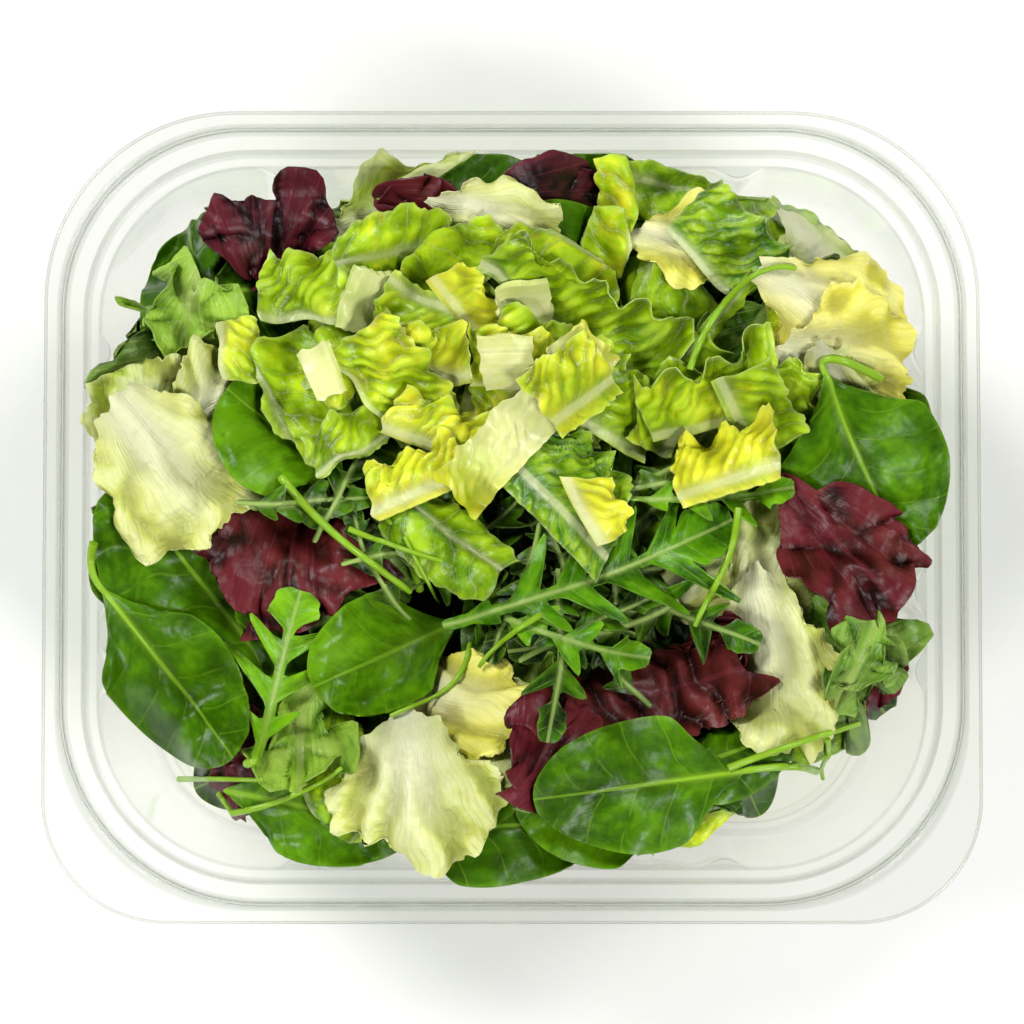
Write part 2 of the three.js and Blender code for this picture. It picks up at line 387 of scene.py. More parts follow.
def arch(sheet, turn, first, last):
    """Bends a sheet evenly, from one slope at its near end to another at its far end, in degrees."""
    turn = math.radians(turn)
    along = sheet.x * math.cos(turn) + sheet.y * math.sin(turn)
    low, high = along.min(), along.max()
    first, last = math.radians(first), math.radians(last)
    return bend(sheet, turn, lambda s: first + (last - first) * np.clip((s - low) / (high - low), 0, 1))


def fold(sheet, turn, start, radius):
    """Folds the part of a sheet beyond a line over onto the rest, round a bend of that radius."""
    return bend(sheet, math.radians(turn), lambda s: np.clip((s - start) / radius, 0, math.pi))


def spinach(random, length, width, detail):
    """An egg-shaped smooth leaf that runs out into its stalk, cupped along its midrib and softly quilted."""
    x, y, out, around = disc(length, width, detail)
    y = y * (1 - 0.14 * x) * (0.13 + 0.87 * smooth(-1.02, -0.45, x))
    x = x - 0.22 * smooth(-0.6, -1.0, x)
    x, y = x * length / 2.1, y * width / 2
    along, side = 2 * x / length, np.abs(y)
    spacing = length / 5.5
    vein = (x - 0.85 * side + 0.03 * y * y + 0.6 * waves(random, x, y, 11)) / spacing + 0.3 * np.sign(y)
    z = 0.5 * np.abs(np.sin(math.pi * vein)) ** 0.6 * smooth(0.5, 4, side) * (1 - out**3)
    z += random.uniform(0.06, 0.3) * side - 0.5 * bell(y, 1.1) * smooth(0.95, -0.3, along)
    z += 0.05 * waves(random, x, y, 5) + 0.4 * waves(random, x, y, 16)
    z += out**3 * frill(random, around, ((3, 0.6), (5, 0.3), (9, 0.1)))
    pale = 0.75 * bell(y, 0.8) * smooth(0.4, -0.9, along)
    sheet = Sheet(x, y, z, vein, side * (1 + smooth(-0.2, 1, along)), pale=pale, margin=0.2)
    arch(sheet, 90, random.uniform(10, 34), random.uniform(-34, -10))
    return arch(sheet, 0, random.uniform(2, 24), random.uniform(-34, -6))


def rocket(random, length, width, detail):
    """A long leaf cut almost to its midrib into lobes that point forward, with a broader end lobe."""
    t, v = strip(length, width, detail * 1.38, 0.6)
    lobes = max(round(length / random.uniform(9, 11)), 3)
    side = random.uniform(-0.2, 0.2) * np.sign(v)
    beat = np.abs(np.sin(math.pi * (t * (lobes + 0.4) - 0.3 + side)))
    uneven = 1 + 0.2 * np.sin(9 * t + 5 * np.sign(v))
    lobe = smooth(0.55, 0.99, beat) * (0.72 + 0.28 * beat**8) * uneven
    end = smooth(0.76, 0.84, t)
    lobe = lobe * (1 - end) + end * np.sqrt(np.clip(1 - ((t - 0.85) / 0.155) ** 2, 0.003, 1)) * 0.42
    half = width / 2 * (0.1 + 0.9 * lobe * (0.35 + 0.65 * smooth(0.1, 0.4, t)) * smooth(0.08, 0.22, t))
    half = half * (1 + 0.05 * np.sin(t * length * 1.9)) * smooth(-0.04, 0.03, t)
    y = v * half
    x = (t - 0.5) * length + 0.8 * np.maximum(np.abs(y) - 1.3, 0) * (1 - 0.8 * end)
    curl = (np.abs(y) / 5) ** 1.5 * 2.0 * np.sin(t * 19 + 2.5 * np.sign(v) + side)
    z = 0.9 * waves(random, x, y, 15) + curl
    z -= 0.4 * bell(y, 0.8)
    pale = 0.7 * bell(y, 0.6) * smooth(1.0, 0.5, t)
    sheet = Sheet(x, y, z, (x - 0.7 * np.abs(y)) / 5, np.abs(y), pale=pale, margin=0.15)
    sideways = random.uniform(-0.08, 0.08) * length
    sheet.y = sheet.y + sideways * (2 * t - 1) ** 2
    return arch(sheet, 0, random.uniform(0, 18), random.uniform(-28, 0))


def curled(random, length, width, detail):
    """A frilly lettuce leaf with deep toothed lobes, a pale rib in each, whose ends curl and stand up."""
    x, y, out, around = disc(length, width, detail * 1.3)
    star = frill(random, around, ((3, 0.17), (5, 0.22), (8, 0.14)))
    teeth = frill(random, around, ((13, 0.07), (23, 0.05), (37, 0.025)))
    reach = 1 + out**2 * (star + teeth)
    x, y = x * reach * length / 2, y * reach * width / 2 * (0.6 + 0.4 * smooth(-1, 0.2, x))
    x, y, z = ruffle(random, x, y, out, around, ((5, 2.4), (8, 2.0), (13, 1.1), (21, 0.4)))
    z += 1.0 * waves(random, x, y, 9) - 0.7 * bell(y, 1.4)
    fan = np.arctan2(y, x + 0.75 * length)
    pale = 0.7 * bell(y, 1.8) * smooth(0.5, -0.8, 2 * x / length)
    pale = np.maximum(pale, 0.55 * smooth(0.08, 0.36, star) * smooth(1.0, 0.4, out))
    sheet = Sheet(x, y, z, fan / 0.16, np.abs(y), pale=pale)
    arch(sheet, random.uniform(60, 120), random.uniform(-45, 10), random.uniform(-10, 45))
    return arch(sheet, 0, random.uniform(-10, 24), random.uniform(-40, 30))


def red_leaf(random, length, width, detail):
    """Red lettuce: a fan from a narrow base, rolling in broad shining folds to a ruffled, toothed margin."""
    x, y, out, around = disc(length, width, detail * 1.35)
    parts = ((2, 0.08), (3, 0.12), (5, 0.12), (8, 0.08), (13, 0.06), (29, 0.025))
    reach = 1 + out**3 * frill(random, around, parts)
    y = y * (0.4 + 0.6 * smooth(-1, 0.2, x))
    x, y = x * reach * length / 2, y * reach * width / 2
    x, y, rise = ruffle(random, x, y, out, around, ((4, 2.4), (7, 2.2), (12, 1.1)))
    fan = np.arctan2(y, x + 0.75 * length)
    front = smooth(-0.9, 0.6, 2 * x / length)
    fold_over = np.abs(np.sin(fan / random.uniform(0.13, 0.19) + 0.8 * waves(random, x, y, 12)))
    crumple = np.abs(np.sin(fan / 0.06 + 1.2 * waves(random, x, y, 8)))
    z = front * (2.4 * fold_over**0.8 + 0.45 * crumple) + rise + 0.4 * waves(random, x, y, 8)
    z += 0.06 * waves(random, x, y, 3)
    pale = 0.3 * bell(y, 2.0) * smooth(0.0, -0.9, 2 * x / length)
    sheet = Sheet(x, y, z, fan / 0.15, np.abs(y), pale=pale, margin=0.1)
    arch(sheet, 90, random.uniform(-10, 35), random.uniform(-45, 0))
    return arch(sheet, 0, random.uniform(0, 24), random.uniform(-50, -5))


def ruffled(random, length, width, detail):
    """A long piece of red lettuce seen on its side: rounded ruffles across it, and a toothed margin."""
    t, v = strip(length, width, detail * 1.3)
    edge = 1 + 0.14 * waves(random, t * length, 4 * v, 9) + 0.07 * waves(random, t * length, 4 * v, 3)
    half = width / 2 * edge * (0.5 + 0.5 * smooth(0, 0.2, t))
    y = v * half
    x = (t - 0.5) * length + 0.06 * length * waves(random, y, 0 * y, 6) * (2 * t - 1)
    place = x / 7.5 + 0.25 * waves(random, x, y, 12) + 0.03 * y
    z = 3.0 * np.abs(np.sin(math.pi * place)) ** 0.75 * (0.5 + 0.5 * np.abs(v)) + 0.4 * waves(random, x, y, 5)
    sheet = Sheet(x, y, z, place * 2, np.abs(y), pale=0.15 * bell(y, 2), margin=0.15)
    arch(sheet, 90, random.uniform(40, 60), random.uniform(-75, -55))
    return arch(sheet, 0, random.uniform(0, 16), random.uniform(-24, 0))


def iceberg(random, length, width, detail):
    """A torn piece of iceberg lettuce: smooth, with a few broad folds that lean over and a ragged edge."""
    x, y, out, around = disc(length, width, detail * 1.15)
    x, y = x * (1 + 0.16 * (1 - y * y)), y * (1 + 0.12 * (1 - x * x))
    parts = ((2, 0.07), (3, 0.09), (5, 0.06), (9, 0.04), (16, 0.03), (33, 0.018), (51, 0.01))
    reach = 1 + out**4 * frill(random, around, parts)
    x, y = x * reach * length / 2, y * reach * width / 2
    fan = np.arctan2(y, x + 1.1 * length)
    turn = fan / random.uniform(0.2, 0.3) + 0.35 * waves(random, x, y, 20) + random.uniform(0, 1)
    lean = (turn % 1.0) ** 1.7
    growing = smooth(-1.2, 0.4, 2 * x / length)
    z = 3.6 * np.sin(math.pi * lean) ** 1.3 * growing + 1.8 * waves(random, x, y, 19)
    pleats = np.abs(np.sin(fan / 0.05 + 1.2 * waves(random, x, y, 9)))
    z += 0.5 * pleats * growing + 0.3 * waves(random, x, y, 6)
    z += out**4 * frill(random, around, ((4, 1.5), (7, 1.2), (12, 0.8), (19, 0.4)))
    pale = 0.8 * bell(y, 0.25 * width) * smooth(1.2, -0.6, 2 * x / length)
    vein = fan / 0.04 + 0.4 * waves(random, x, y, 9)
    sheet = Sheet(x, y, z, vein, np.abs(y), pale=pale, margin=0.2)
    arch(sheet, 90, random.uniform(15, 55), random.uniform(-55, -15))
    return arch(sheet, 0, random.uniform(0, 35), random.uniform(-50, -5))


def cos_leaf(random, length, width, detail):
    """A cut piece of cos lettuce: straight ends, a pale rib along one side, blistered between its veins."""
    t, v = strip(length, width, detail * 1.45)
    rib = random.uniform(-1.0, -0.5)
    ragged = 0.09 * waves(random, t * length, 0 * t, 7) + 0.05 * waves(random, t * length, 0 * t, 2.6)
    half = width / 2 * (1 + ragged * (v > 0))
    x = (t - 0.5) * length + random.uniform(-0.3, 0.3) * v * half
    x = x + (t - 0.5) * 0.9 * waves(random, v * half, 0 * v, 4)
    y = v * half
    off = y - rib * width / 2
    crinkle = (x - 0.75 * np.abs(off)) / 3.1 + 0.35 * waves(random, x, y, 7)
    across = off / 4.4 + 0.4 * waves(random, x, y, 6)
    blister = np.sqrt(0.03 + np.sin(math.pi * crinkle) ** 2)
    blister = blister * (0.55 + 0.45 * np.abs(np.sin(math.pi * across)))
    z = smooth(1.0, 3.5, np.abs(off)) * 1.3 * blister * (0.8 + 0.4 * waves(random, x, y, 6))
    z += 0.8 * waves(random, x, y, 12)
    z += np.abs(v) ** 2 * (v > 0) * 1.6 * np.sin(x * 0.7 + random.uniform(0, 6))
    pale = random.uniform(0.1, 0.7) * bell(off, 1.6)
    sheet = Sheet(x, y, z, crinkle, np.abs(off), pale=pale, margin=0.2)
    lean, curve = random.uniform(-40, 40), random.uniform(10, 50)
    arch(sheet, 90, lean + curve, lean - curve)
    return arch(sheet, 0, random.uniform(-20, 40), random.uniform(-50, 15))


def smooth_cos(random, length, width, detail):
    """A cut piece of outer cos or young lettuce: smooth, strongly bent, with ragged cut ends."""
    t, v = strip(length, width, detail)
    wide = 0.7 + 0.35 * np.sin(math.pi * np.clip(t * 1.05, 0, 1))
    uneven = 0.06 * waves(random, t * length, 0 * t, 6) + 0.03 * waves(random, t * length, 0 * t, 2.4)
    y = v * width / 2 * (wide + uneven)
    x = (t - 0.5) * length + 0.06 * length * waves(random, y, 0 * v, 8) * (2 * t - 1)
    off = y - random.uniform(-1.3, 1.3) * width / 2
    vein = (x - 0.7 * np.abs(off)) / 5.5 + 0.2 * waves(random, x, y, 8)
    z = 0.9 * waves(random, x, y, 13) + 0.7 * np.abs(np.sin(math.pi * vein)) * smooth(0.5, 3, np.abs(off))
    z += 0.18 * waves(random, x, y, 3.5) - 0.6 * bell(off, 1.1)
    pale = random.uniform(0.1, 0.5) * bell(off, 0.7)
    sheet = Sheet(x, y, z, vein, np.abs(off), pale=pale, margin=0.15)
    lean, curve = random.uniform(-35, 35), random.uniform(15, 65)
    arch(sheet, 90, lean + curve, lean - curve)
    return arch(sheet, 0, random.uniform(-20, 40), random.uniform(-45, 20))


FIBRE = 1.5  # mm from one lengthwise fibre of a cut midrib to the next
RIB_THICKNESS = 1.6  # mm
NO_MIDRIB = 9.0  # mm from a midrib, so that none is drawn


def rib_block(random, length, width, detail):
    """A thick crisp piece cut from a lettuce's midrib, hollowed on its upper side."""
    t, v = strip(length, width, detail * 1.2)
    x = (t - 0.5) * length + random.uniform(-0.12, 0.12) * v * width
    x = x + 0.35 * (2 * t - 1) * waves(random, 0 * t, v * width, 4)
    y = v * width / 2 * (1 + 0.07 * waves(random, t * length, 0 * t, 7))
    z = 1.3 - 2.4 * v**2 + 0.14 * np.cos(2 * math.pi * y / FIBRE)
    z = z + random.uniform(-1.2, 1.2) * (2 * t - 1) ** 2
    z += 0.3 * waves(random, x, y, 7)
    streaks = 0.84 + 0.11 * waves(random, 0 * x, y, 1.6) + 0.1 * waves(random, x, y, 5)
    streaks = streaks - 0.25 * smooth(0.3, 1, v)
    return Sheet(x, y, z, y / FIBRE, NO_MIDRIB, pale=np.clip(streaks, 0, 1), thickness=RIB_THICKNESS)


def banded_strip(random, length, width, detail):
    """A long strip cut across a cos heart: white rib in the middle, yellow leaf at its ends."""
    sheet = cos_leaf(random, length, width, detail)
    middle = np.exp(-((2.6 * (sheet.x / length - 0.05)) ** 4))
    sheet.pale = np.clip(middle * (0.85 + 0.12 * waves(random, 0 * sheet.x, sheet.y, 1.8)), 0, 1)
    sheet.midrib = sheet.midrib + 4 * middle
    return sheet


SHAPES = {
    "spinach": spinach,
    "rocket": rocket,
    "curled": curled,
    "red": red_leaf,
    "ruffled": ruffled,
    "iceberg": iceberg,
    "yellow": iceberg,
    "cos": cos_leaf,
    "smooth_cos": smooth_cos,
    "rib": rib_block,
    "banded": banded_strip,
}


# ---------------------------------------------------------------- laying the leaves

SPREAD = 4  # mm over which a soft leaf feels the ground
GAP = 0.15  # mm between a leaf and what it lies on
FIRMNESS = 2.5  # per mm: how suddenly a leaf flattens under a ceiling
LIFTED = 0.25  # share of the deepest cut by which a whole leaf rises, before it bends over what it would cut
BENDING = 6  # blurs that spread this bending


class Bed:
    """How high the things that lie on it already reach, over a grid of 1 mm cells."""

    def __init__(self, low, high, start, wraps=False):
        self.low = np.array(low, float)
        self.size = np.ceil(np.array(high) - low).astype(int) + 1
        self.wraps = wraps
        x, y = np.meshgrid(*(self.low[i] + np.arange(self.size[i]) for i in (0, 1)), indexing="ij")
        self.height = start(x, y)
        self.soften()

    def soften(self):
        """Works out the averaged heights, and the highest of each cell and its neighbours."""
        pad = 2 * SPREAD
        kernel = bell(np.arange(-pad, pad + 1), SPREAD)
        kernel /= kernel.sum()
        field = self.height
        for axis in (0, 1):
            mode = "wrap" if self.wraps and axis == 0 else "edge"
            edges = [(pad, pad) if i == axis else (0, 0) for i in (0, 1)]
            field = np.pad(field, edges, mode=mode)
            count = self.height.shape[axis]
            field = sum(k * np.take(field, range(i, i + count), axis=axis) for i, k in enumerate(kernel))
        self.soft = field
        padded = np.pad(self.height, 1, mode="edge")
        near = [padded[i : i + field.shape[0], k : k + field.shape[1]] for i in range(3) for k in range(3)]
        self.near = np.max(near, axis=0)

    def read(self, field, x, y):
        """A field's value at each point."""
        p, q = x - self.low[0], y - self.low[1]
        p = p % (self.size[0] - 1) if self.wraps else np.clip(p, 0, self.size[0] - 1.001)
        q = np.clip(q, 0, self.size[1] - 1.001)
        i, k = np.floor(p).astype(int), np.floor(q).astype(int)
        s, t = p - i, q - k
        low = field[i, k] * (1 - s) + field[i + 1, k] * s
        high = field[i, k + 1] * (1 - s) + field[i + 1, k + 1] * s
        return low * (1 - t) + high * t

    def cover(self, x, y, z):
        """Raises the bed to the top of a new leaf."""
        for _ in range(2):
            x, y, z = (finer(a) for a in (x, y, z))
        p, q = np.rint(x - self.low[0]).astype(int), np.rint(y - self.low[1]).astype(int)
        p = p % (self.size[0] - 1) if self.wraps else np.clip(p, 0, self.size[0] - 1)
        q = np.clip(q, 0, self.size[1] - 1)
        np.maximum.at(self.height, (p, q), z)
        if self.wraps:
            self.height[-1] = self.height[0]
        self.soften()


def finer(a):
    """The same grid with a point added between each two."""
    wide = np.empty((2 * a.shape[0] - 1, a.shape[1]))
    wide[::2], wide[1::2] = a, (a[:-1] + a[1:]) / 2
    full = np.empty((wide.shape[0], 2 * a.shape[1] - 1))
    full[:, ::2], full[:, 1::2] = wide, (wide[:, :-1] + wide[:, 1:]) / 2
    return full


def settle(bed, sheet, stiffness, ceiling=None):
    """Lowers a leaf onto the bed: it keeps some of its own plane, bends to the ground and stays above what
    lies there, unless a ceiling presses it down."""
    ground = bed.read(bed.soft, sheet.x, sheet.y)
    flat = np.stack([np.ones(sheet.x.size), sheet.x.ravel(), sheet.y.ravel()], axis=1)
    plane = (flat @ np.linalg.lstsq(flat, ground.ravel(), rcond=None)[0]).reshape(ground.shape)
    z = stiffness * plane + (1 - stiffness) * ground + sheet.z - np.percentile(sheet.z, 30)
    top = bed.read(bed.near, sheet.x, sheet.y) + sheet.thickness + GAP
    z = z + LIFTED * max((top - z).max(), 0)
    lack = top - z
    lift = np.maximum(lack, 0)
    for _ in range(BENDING):
        lift = np.maximum(blurred(lift), lack)
    z = z + np.maximum(lift, 0)
    if ceiling is not None:
        z = ceiling - np.log1p(np.exp(np.clip((ceiling - z) * FIRMNESS, -30, 30))) / FIRMNESS
    sheet.z = z
    bed.cover(sheet.x, sheet.y, z)


def put(sheet, x, y, heading, pitch=0.0, roll=0.0):
    """Tilts a leaf, turns it to its heading in degrees and moves it to its place."""
    c, s = math.cos(math.radians(pitch)), math.sin(math.radians(pitch))
    sheet.x, sheet.z = c * sheet.x - s * sheet.z, s * sheet.x + c * sheet.z
    c, s = math.cos(math.radians(roll)), math.sin(math.radians(roll))
    sheet.y, sheet.z = c * sheet.y - s * sheet.z, s * sheet.y + c * sheet.z
    c, s = math.cos(math.radians(heading)), math.sin(math.radians(heading))
    sheet.x, sheet.y = x + c * sheet.x - s * sheet.y, y + s * sheet.x + c * sheet.y
    return sheet


# Each leaf of the top of the heap, from the lowest to the highest. Kind, place as shares of the pot's half
# width and half depth, heading in degrees from base to tip, length and width in millimetres, tone from dark
# or pale to light, then what else it does: pitch and roll in degrees, a fold (direction, start and radius), a
# stalk that ends at a place, or many, for that number of leaves strewn so far across and along.
TOP_LEAVES = [
    # the margin, clockwise from the front left
    ("spinach", -0.62, -0.66, 200, 26, 17, 0.35),
    ("red", -0.56, -0.63, -60, 22, 17, 0.4),
    ("spinach", -0.41, -0.77, -12, 38, 22, 0.75, {"roll": -8}),
    ("spinach", -0.02, -0.80, 4, 44, 24, 0.5, {"roll": -6}),
    ("spinach", 0.18, -0.78, 170, 34, 20, 0.75),
    ("curled", 0.31, -0.77, -100, 22, 19, 0.85),
    ("spinach", 0.52, -0.66, -62, 28, 20, 0.3, {"roll": 14}),
    ("spinach", 0.47, -0.58, 20, 30, 18, 0.5),
    ("red", 0.80, -0.38, -100, 18, 11, 0.5),
    ("curled", 0.72, -0.30, 30, 28, 22, 0.35),
    ("spinach", -0.86, -0.12, 85, 30, 18, 0.2),
    ("spinach", -0.74, -0.12, 128, 48, 34, 0.6),
    ("spinach", -0.76, 0.62, 98, 38, 25, 0.45, {"roll": 8}),
    ("curled", -0.74, 0.38, 200, 26, 20, 0.15),
    ("spinach", -0.50, 0.58, 10, 30, 22, 0.2),
    ("iceberg", -0.25, 0.79, 22, 38, 17, 0.6, {"roll": -8}),
    ("spinach", -0.02, 0.82, -8, 32, 18, 0.35),
    ("spinach", 0.14, 0.82, 8, 36, 15, 0.75, {"roll": 12}),
    ("red", 0.09, 0.75, 0, 30, 19, 0.0),
    ("red", 0.59, 0.76, -30, 30, 12, 0.55),
    ("smooth_cos", 0.66, 0.73, -24, 22, 13, 0.6),
    ("iceberg", 0.75, 0.58, -52, 32, 16, 0.75),
    ("spinach", 0.80, 0.20, -80, 30, 20, 0.3),
    # under the middle
    ("spinach", -0.10, -0.60, 40, 40, 26, 0.3),
    ("smooth_cos", -0.36, -0.62, 120, 30, 20, 0.7),
    ("curled", 0.10, -0.55, 60, 30, 26, 0.3),
    ("rocket", 0.30, -0.30, 150, 44, 20, 0.2),
    ("rocket", 0.05, -0.22, 40, 44, 20, 0.25),
    ("rocket", -0.12, -0.12, -30, 40, 18, 0.15),
    ("spinach", -0.45, -0.20, 70, 36, 24, 0.2),
    ("smooth_cos", 0.35, 0.10, 60, 36, 20, 0.75),
    ("smooth_cos", 0.45, 0.36, -20, 36, 22, 0.8),
    ("spinach", 0.10, 0.62, 20, 38, 24, 0.4),
    ("smooth_cos", -0.30, 0.50, 100, 36, 24, 0.75),
    ("spinach", -0.34, 0.20, 160, 36, 24, 0.35),
    ("curled", 0.5, 0.45, 0, 20, 13, 0.3, {"many": (6, 0.2, 0.24)}),
    ("rocket", 0.2, 0.2, 0, 34, 12, 0.1, {"many": (10, 0.5, 0.4)}),
    # the red leaves and their neighbours on the left
    ("curled", -0.40, -0.24, -40, 24, 18, 0.45),
    ("red", -0.47, -0.06, -95, 35, 38, 0.8, {"pitch": -6}),
    ("red", -0.53, 0.70, 86, 21, 26, 0.2),
    ("curled", -0.69, 0.50, -100, 21, 27, 0.8, {"pitch": 6}),
    ("red", -0.20, 0.755, -20, 19, 14, 0.75),
    ("iceberg", -0.02, 0.725, -14, 25, 12, 0.05),
    # the back right
    ("smooth_cos", 0.30, 0.62, 80, 26, 14, 0.85),
    ("smooth_cos", 0.40, 0.81, -8, 32, 14, 0.65, {"fold": (90, 3, 2.5)}),
    ("smooth_cos", 0.34, 0.52, -62, 28, 16, 0.75, {"roll": -14}),
    ("smooth_cos", 0.30, 0.55, -100, 18, 10, 0.6, {"roll": 16}),
    ("smooth_cos", 0.37, 0.50, -40, 22, 13, 0.7, {"roll": 10}),
    ("yellow", 0.40, 0.67, -14, 25, 15, 0.5, {"roll": -8}),
    ("cos", 0.50, 0.73, -48, 24, 16, 0.85, {"roll": 10}),
    ("smooth_cos", 0.22, 0.79, 96, 16, 9, 0.3, {"roll": 16}),
    ("smooth_cos", 0.205, 0.68, 84, 14, 10, 0.35, {"roll": -14}),
    ("curled", 0.51, 0.45, 205, 20, 17, 0.35),
    ("smooth_cos", 0.44, 0.47, 56, 26, 5, 0.6, {"roll": 20}),
    ("smooth_cos", 0.61, 0.42, -82, 32, 17, 0.25, {"roll": 12}),
    ("yellow", 0.72, 0.50, -30, 32, 22, 0.35),
    ("yellow", 0.74, 0.38, -10, 26, 26, 0.15, {"pitch": 6}),
    ("iceberg", 0.70, 0.31, -60, 16, 12, 0.0),
    ("cos", 0.61, 0.27, -70, 18, 12, 0.55),
    # the right
    ("spinach", 0.65, 0.09, -110, 30, 20, 0.45),
    ("spinach", 0.765, 0.10, -65, 38, 33, 0.6, {"roll": 5, "stalk": (0.785, 0.335)}),
    ("iceberg", 0.53, -0.16, 62, 32, 24, 0.45),
    ("iceberg", 0.38, -0.16, 30, 17, 12, 0.35),
    ("curled", 0.76, -0.43, -55, 32, 22, 0.28),
    ("iceberg", 0.555, -0.37, -78, 35, 23, 0.25, {"pitch": -4}),
    ("red", 0.72, -0.08, -50, 34, 29, 0.75, {"pitch": 5}),
    ("curled", 0.73, -0.37, 60, 18, 12, 0.42),
    # the front
    ("curled", 0.05, -0.41, -80, 24, 16, 0.85),
    ("iceberg", -0.02, -0.53, -40, 26, 18, 0.7),
    ("yellow", -0.11, -0.45, -18, 32, 19, 0.3, {"pitch": -4}),
    ("iceberg", -0.215, -0.71, -82, 27, 31, 0.3, {"pitch": -8}),
    ("curled", -0.45, -0.56, -90, 19, 18, 0.8),
    ("red", 0.43, -0.35, 62, 16, 10, 0.9),
    ("ruffled", 0.27, -0.45, 16, 48, 18, 1.2),
    ("red", 0.07, -0.58, 60, 24, 16, 0.6),
    ("rocket", -0.50, -0.39, 76, 36, 21, 0.85, {"stalk": (-0.56, -0.61)}),
    ("spinach", -0.715, -0.415, -52, 43, 25, 0.58, {"stalk": (-0.89, -0.07)}),
    ("spinach", -0.29, -0.345, 206, 32, 24, 0.82, {"stalk": (-0.01, -0.14)}),
    ("spinach", 0.255, -0.665, 188, 42, 26, 0.6, {"stalk": (0.67, -0.62)}),
    # the left
    ("iceberg", -0.79, 0.22, 84, 29, 24, 0.5),
    ("iceberg", -0.63, 0.31, 50, 17, 15, 0.35),
    ("iceberg", -0.715, 0.105, -50, 35, 27, 0.15, {"pitch": -6}),
    ("smooth_cos", -0.49, 0.09, -48, 30, 9, 0.85, {"roll": 8}),
    ("spinach", -0.50, 0.215, 142, 30, 25, 0.95, {"stalk": (-0.20, -0.17)}),
    ("cos", -0.585, 0.41, -85, 13, 9, 0.25),
    # the middle: rocket shreds in the shade, small cut cos
    ("rocket", 0.10, -0.20, 0, 32, 11, 0.1, {"many": (16, 0.28, 0.16)}),
    ("smooth_cos", 0.0, 0.36, 0, 18, 9, 0.55, {"many": (14, 0.46, 0.28)}),
    ("rocket", -0.28, -0.06, 0, 28, 10, 0.2, {"many": (8, 0.2, 0.2)}),
    ("smooth_cos", -0.14, -0.06, -35, 27, 17, 0.7),
    ("rocket", 0.12, -0.31, -16, 34, 13, 0.65),
    ("rocket", 0.17, -0.16, 20, 63, 25, 0.45),
    ("rocket", 0.43, 0.05, 4, 34, 12, 0.75),
    ("cos", -0.05, 0.30, 0, 14, 9, 0.35, {"many": (16, 0.32, 0.2)}),
    ("smooth_cos", -0.44, 0.30, -64, 26, 19, 0.5, {"roll": 14}),
    ("smooth_cos", -0.36, 0.40, 70, 22, 14, 0.35),
    ("cos", -0.455, 0.565, -4, 20, 15, 0.5, {"pitch": 5}),
    ("smooth_cos", -0.25, 0.65, 14, 25, 16, 0.45),
    ("smooth_cos", -0.12, 0.62, 24, 21, 14, 0.5),
    ("rib", -0.31, 0.53, 68, 13, 9, 0.7, {"pitch": 8}),
    ("cos", -0.20, 0.50, 150, 18, 12, 0.45),
    ("cos", -0.09, 0.52, -52, 16, 9, 0.05, {"roll": 14}),
    ("smooth_cos", 0.10, 0.60, 160, 26, 14, 0.4),
    ("cos", 0.155, 0.50, -36, 42, 15, 0.6, {"fold": (90, 3, 3), "roll": 8}),
    ("rib", 0.03, 0.49, 8, 11, 10, 0.3, {"roll": -6}),
    ("cos", 0.10, 0.38, -20, 28, 13, 0.5),
    ("cos", -0.34, 0.19, 30, 20, 11, 0.6, {"roll": -12}),
    ("cos", -0.04, 0.26, 70, 24, 14, 0.3),
    ("cos", 0.03, 0.37, -8, 24, 12, 0.2),
    ("rib", -0.01, 0.37, 2, 11, 10, 0.15, {"pitch": 4}),
    ("cos", -0.18, 0.40, -8, 20, 11, 0.2, {"roll": 6}),
    ("cos", -0.255, 0.33, -52, 25, 17, 0.3, {"pitch": 5, "roll": 6}),
    ("rib", -0.405, 0.355, -68, 11, 7, 0.3),
    ("cos", -0.16, 0.23, -20, 20, 11, 0.15, {"roll": -8}),
    ("cos", -0.21, 0.11, 24, 21, 13, 0.12, {"pitch": -6}),
    ("cos", 0.20, 0.30, -28, 26, 16, 0.55),
    ("cos", 0.13, 0.10, -46, 31, 24, 0.85, {"pitch": -6}),
    ("banded", 0.035, 0.235, 46, 43, 13, 0.15, {"pitch": 3}),
    ("cos", 0.135, 0.32, 35, 18, 14, 0.25),
    ("cos", 0.19, 0.02, -62, 14, 10, 0.0, {"roll": 10}),
    ("cos", 0.34, 0.27, 60, 18, 10, 0.5),
    ("cos", 0.43, 0.30, 12, 30, 13, 0.4, {"fold": (90, 3, 2.5)}),
    ("cos", 0.53, 0.26, -60, 17, 12, 0.5),
    ("cos", 0.45, 0.145, 14, 23, 15, 0.02, {"roll": -10}),
]
DETAIL = 0.9  # grid points for each millimetre of a leaf of the top
FILL_DETAIL = 0.5  # the same for leaves that lie deeper
SHADED = 0.35  # share of its tone that a leaf under the top keeps: for most kinds a darker colour, as painted shade between the leaves of the top
TOP_FILL = 28  # leaves strewn under the ones of the table above
SIDE_FILL = 140  # leaves strewn against the wall
BARE_FILL = 14  # more leaves at the wall, each where the leaves before it left the barest place
BARE_DRAWS = 5000  # starts the draws of those leaves, beside the seed
STREWN_DRAWS = 1000  # the same for an entry of the table with many, plus that entry's number
LIMP, CRISP = 0.3, 0.5  # share of its own plane that a strewn leaf and a leaf of the table keep
CLIMB = 0.03  # mm that each leaf at the wall may stand further out than the last, so that they stay in order
SIDE_RELIEF = 0.7  # share of its own relief that a leaf keeps at the wall
SIDE_FOOT = 7.0  # mm over the floor: leaves at the wall bend inwards below it
SIDE_TOP = RIM - 8.0  # and above it
SIDE_MARGIN = 20.0  # mm of unrolled wall beyond the places of the leaves
TURN_UNDER, TURN_OVER = 3.4, 4.0  # mm over which they bend at the foot and at the top
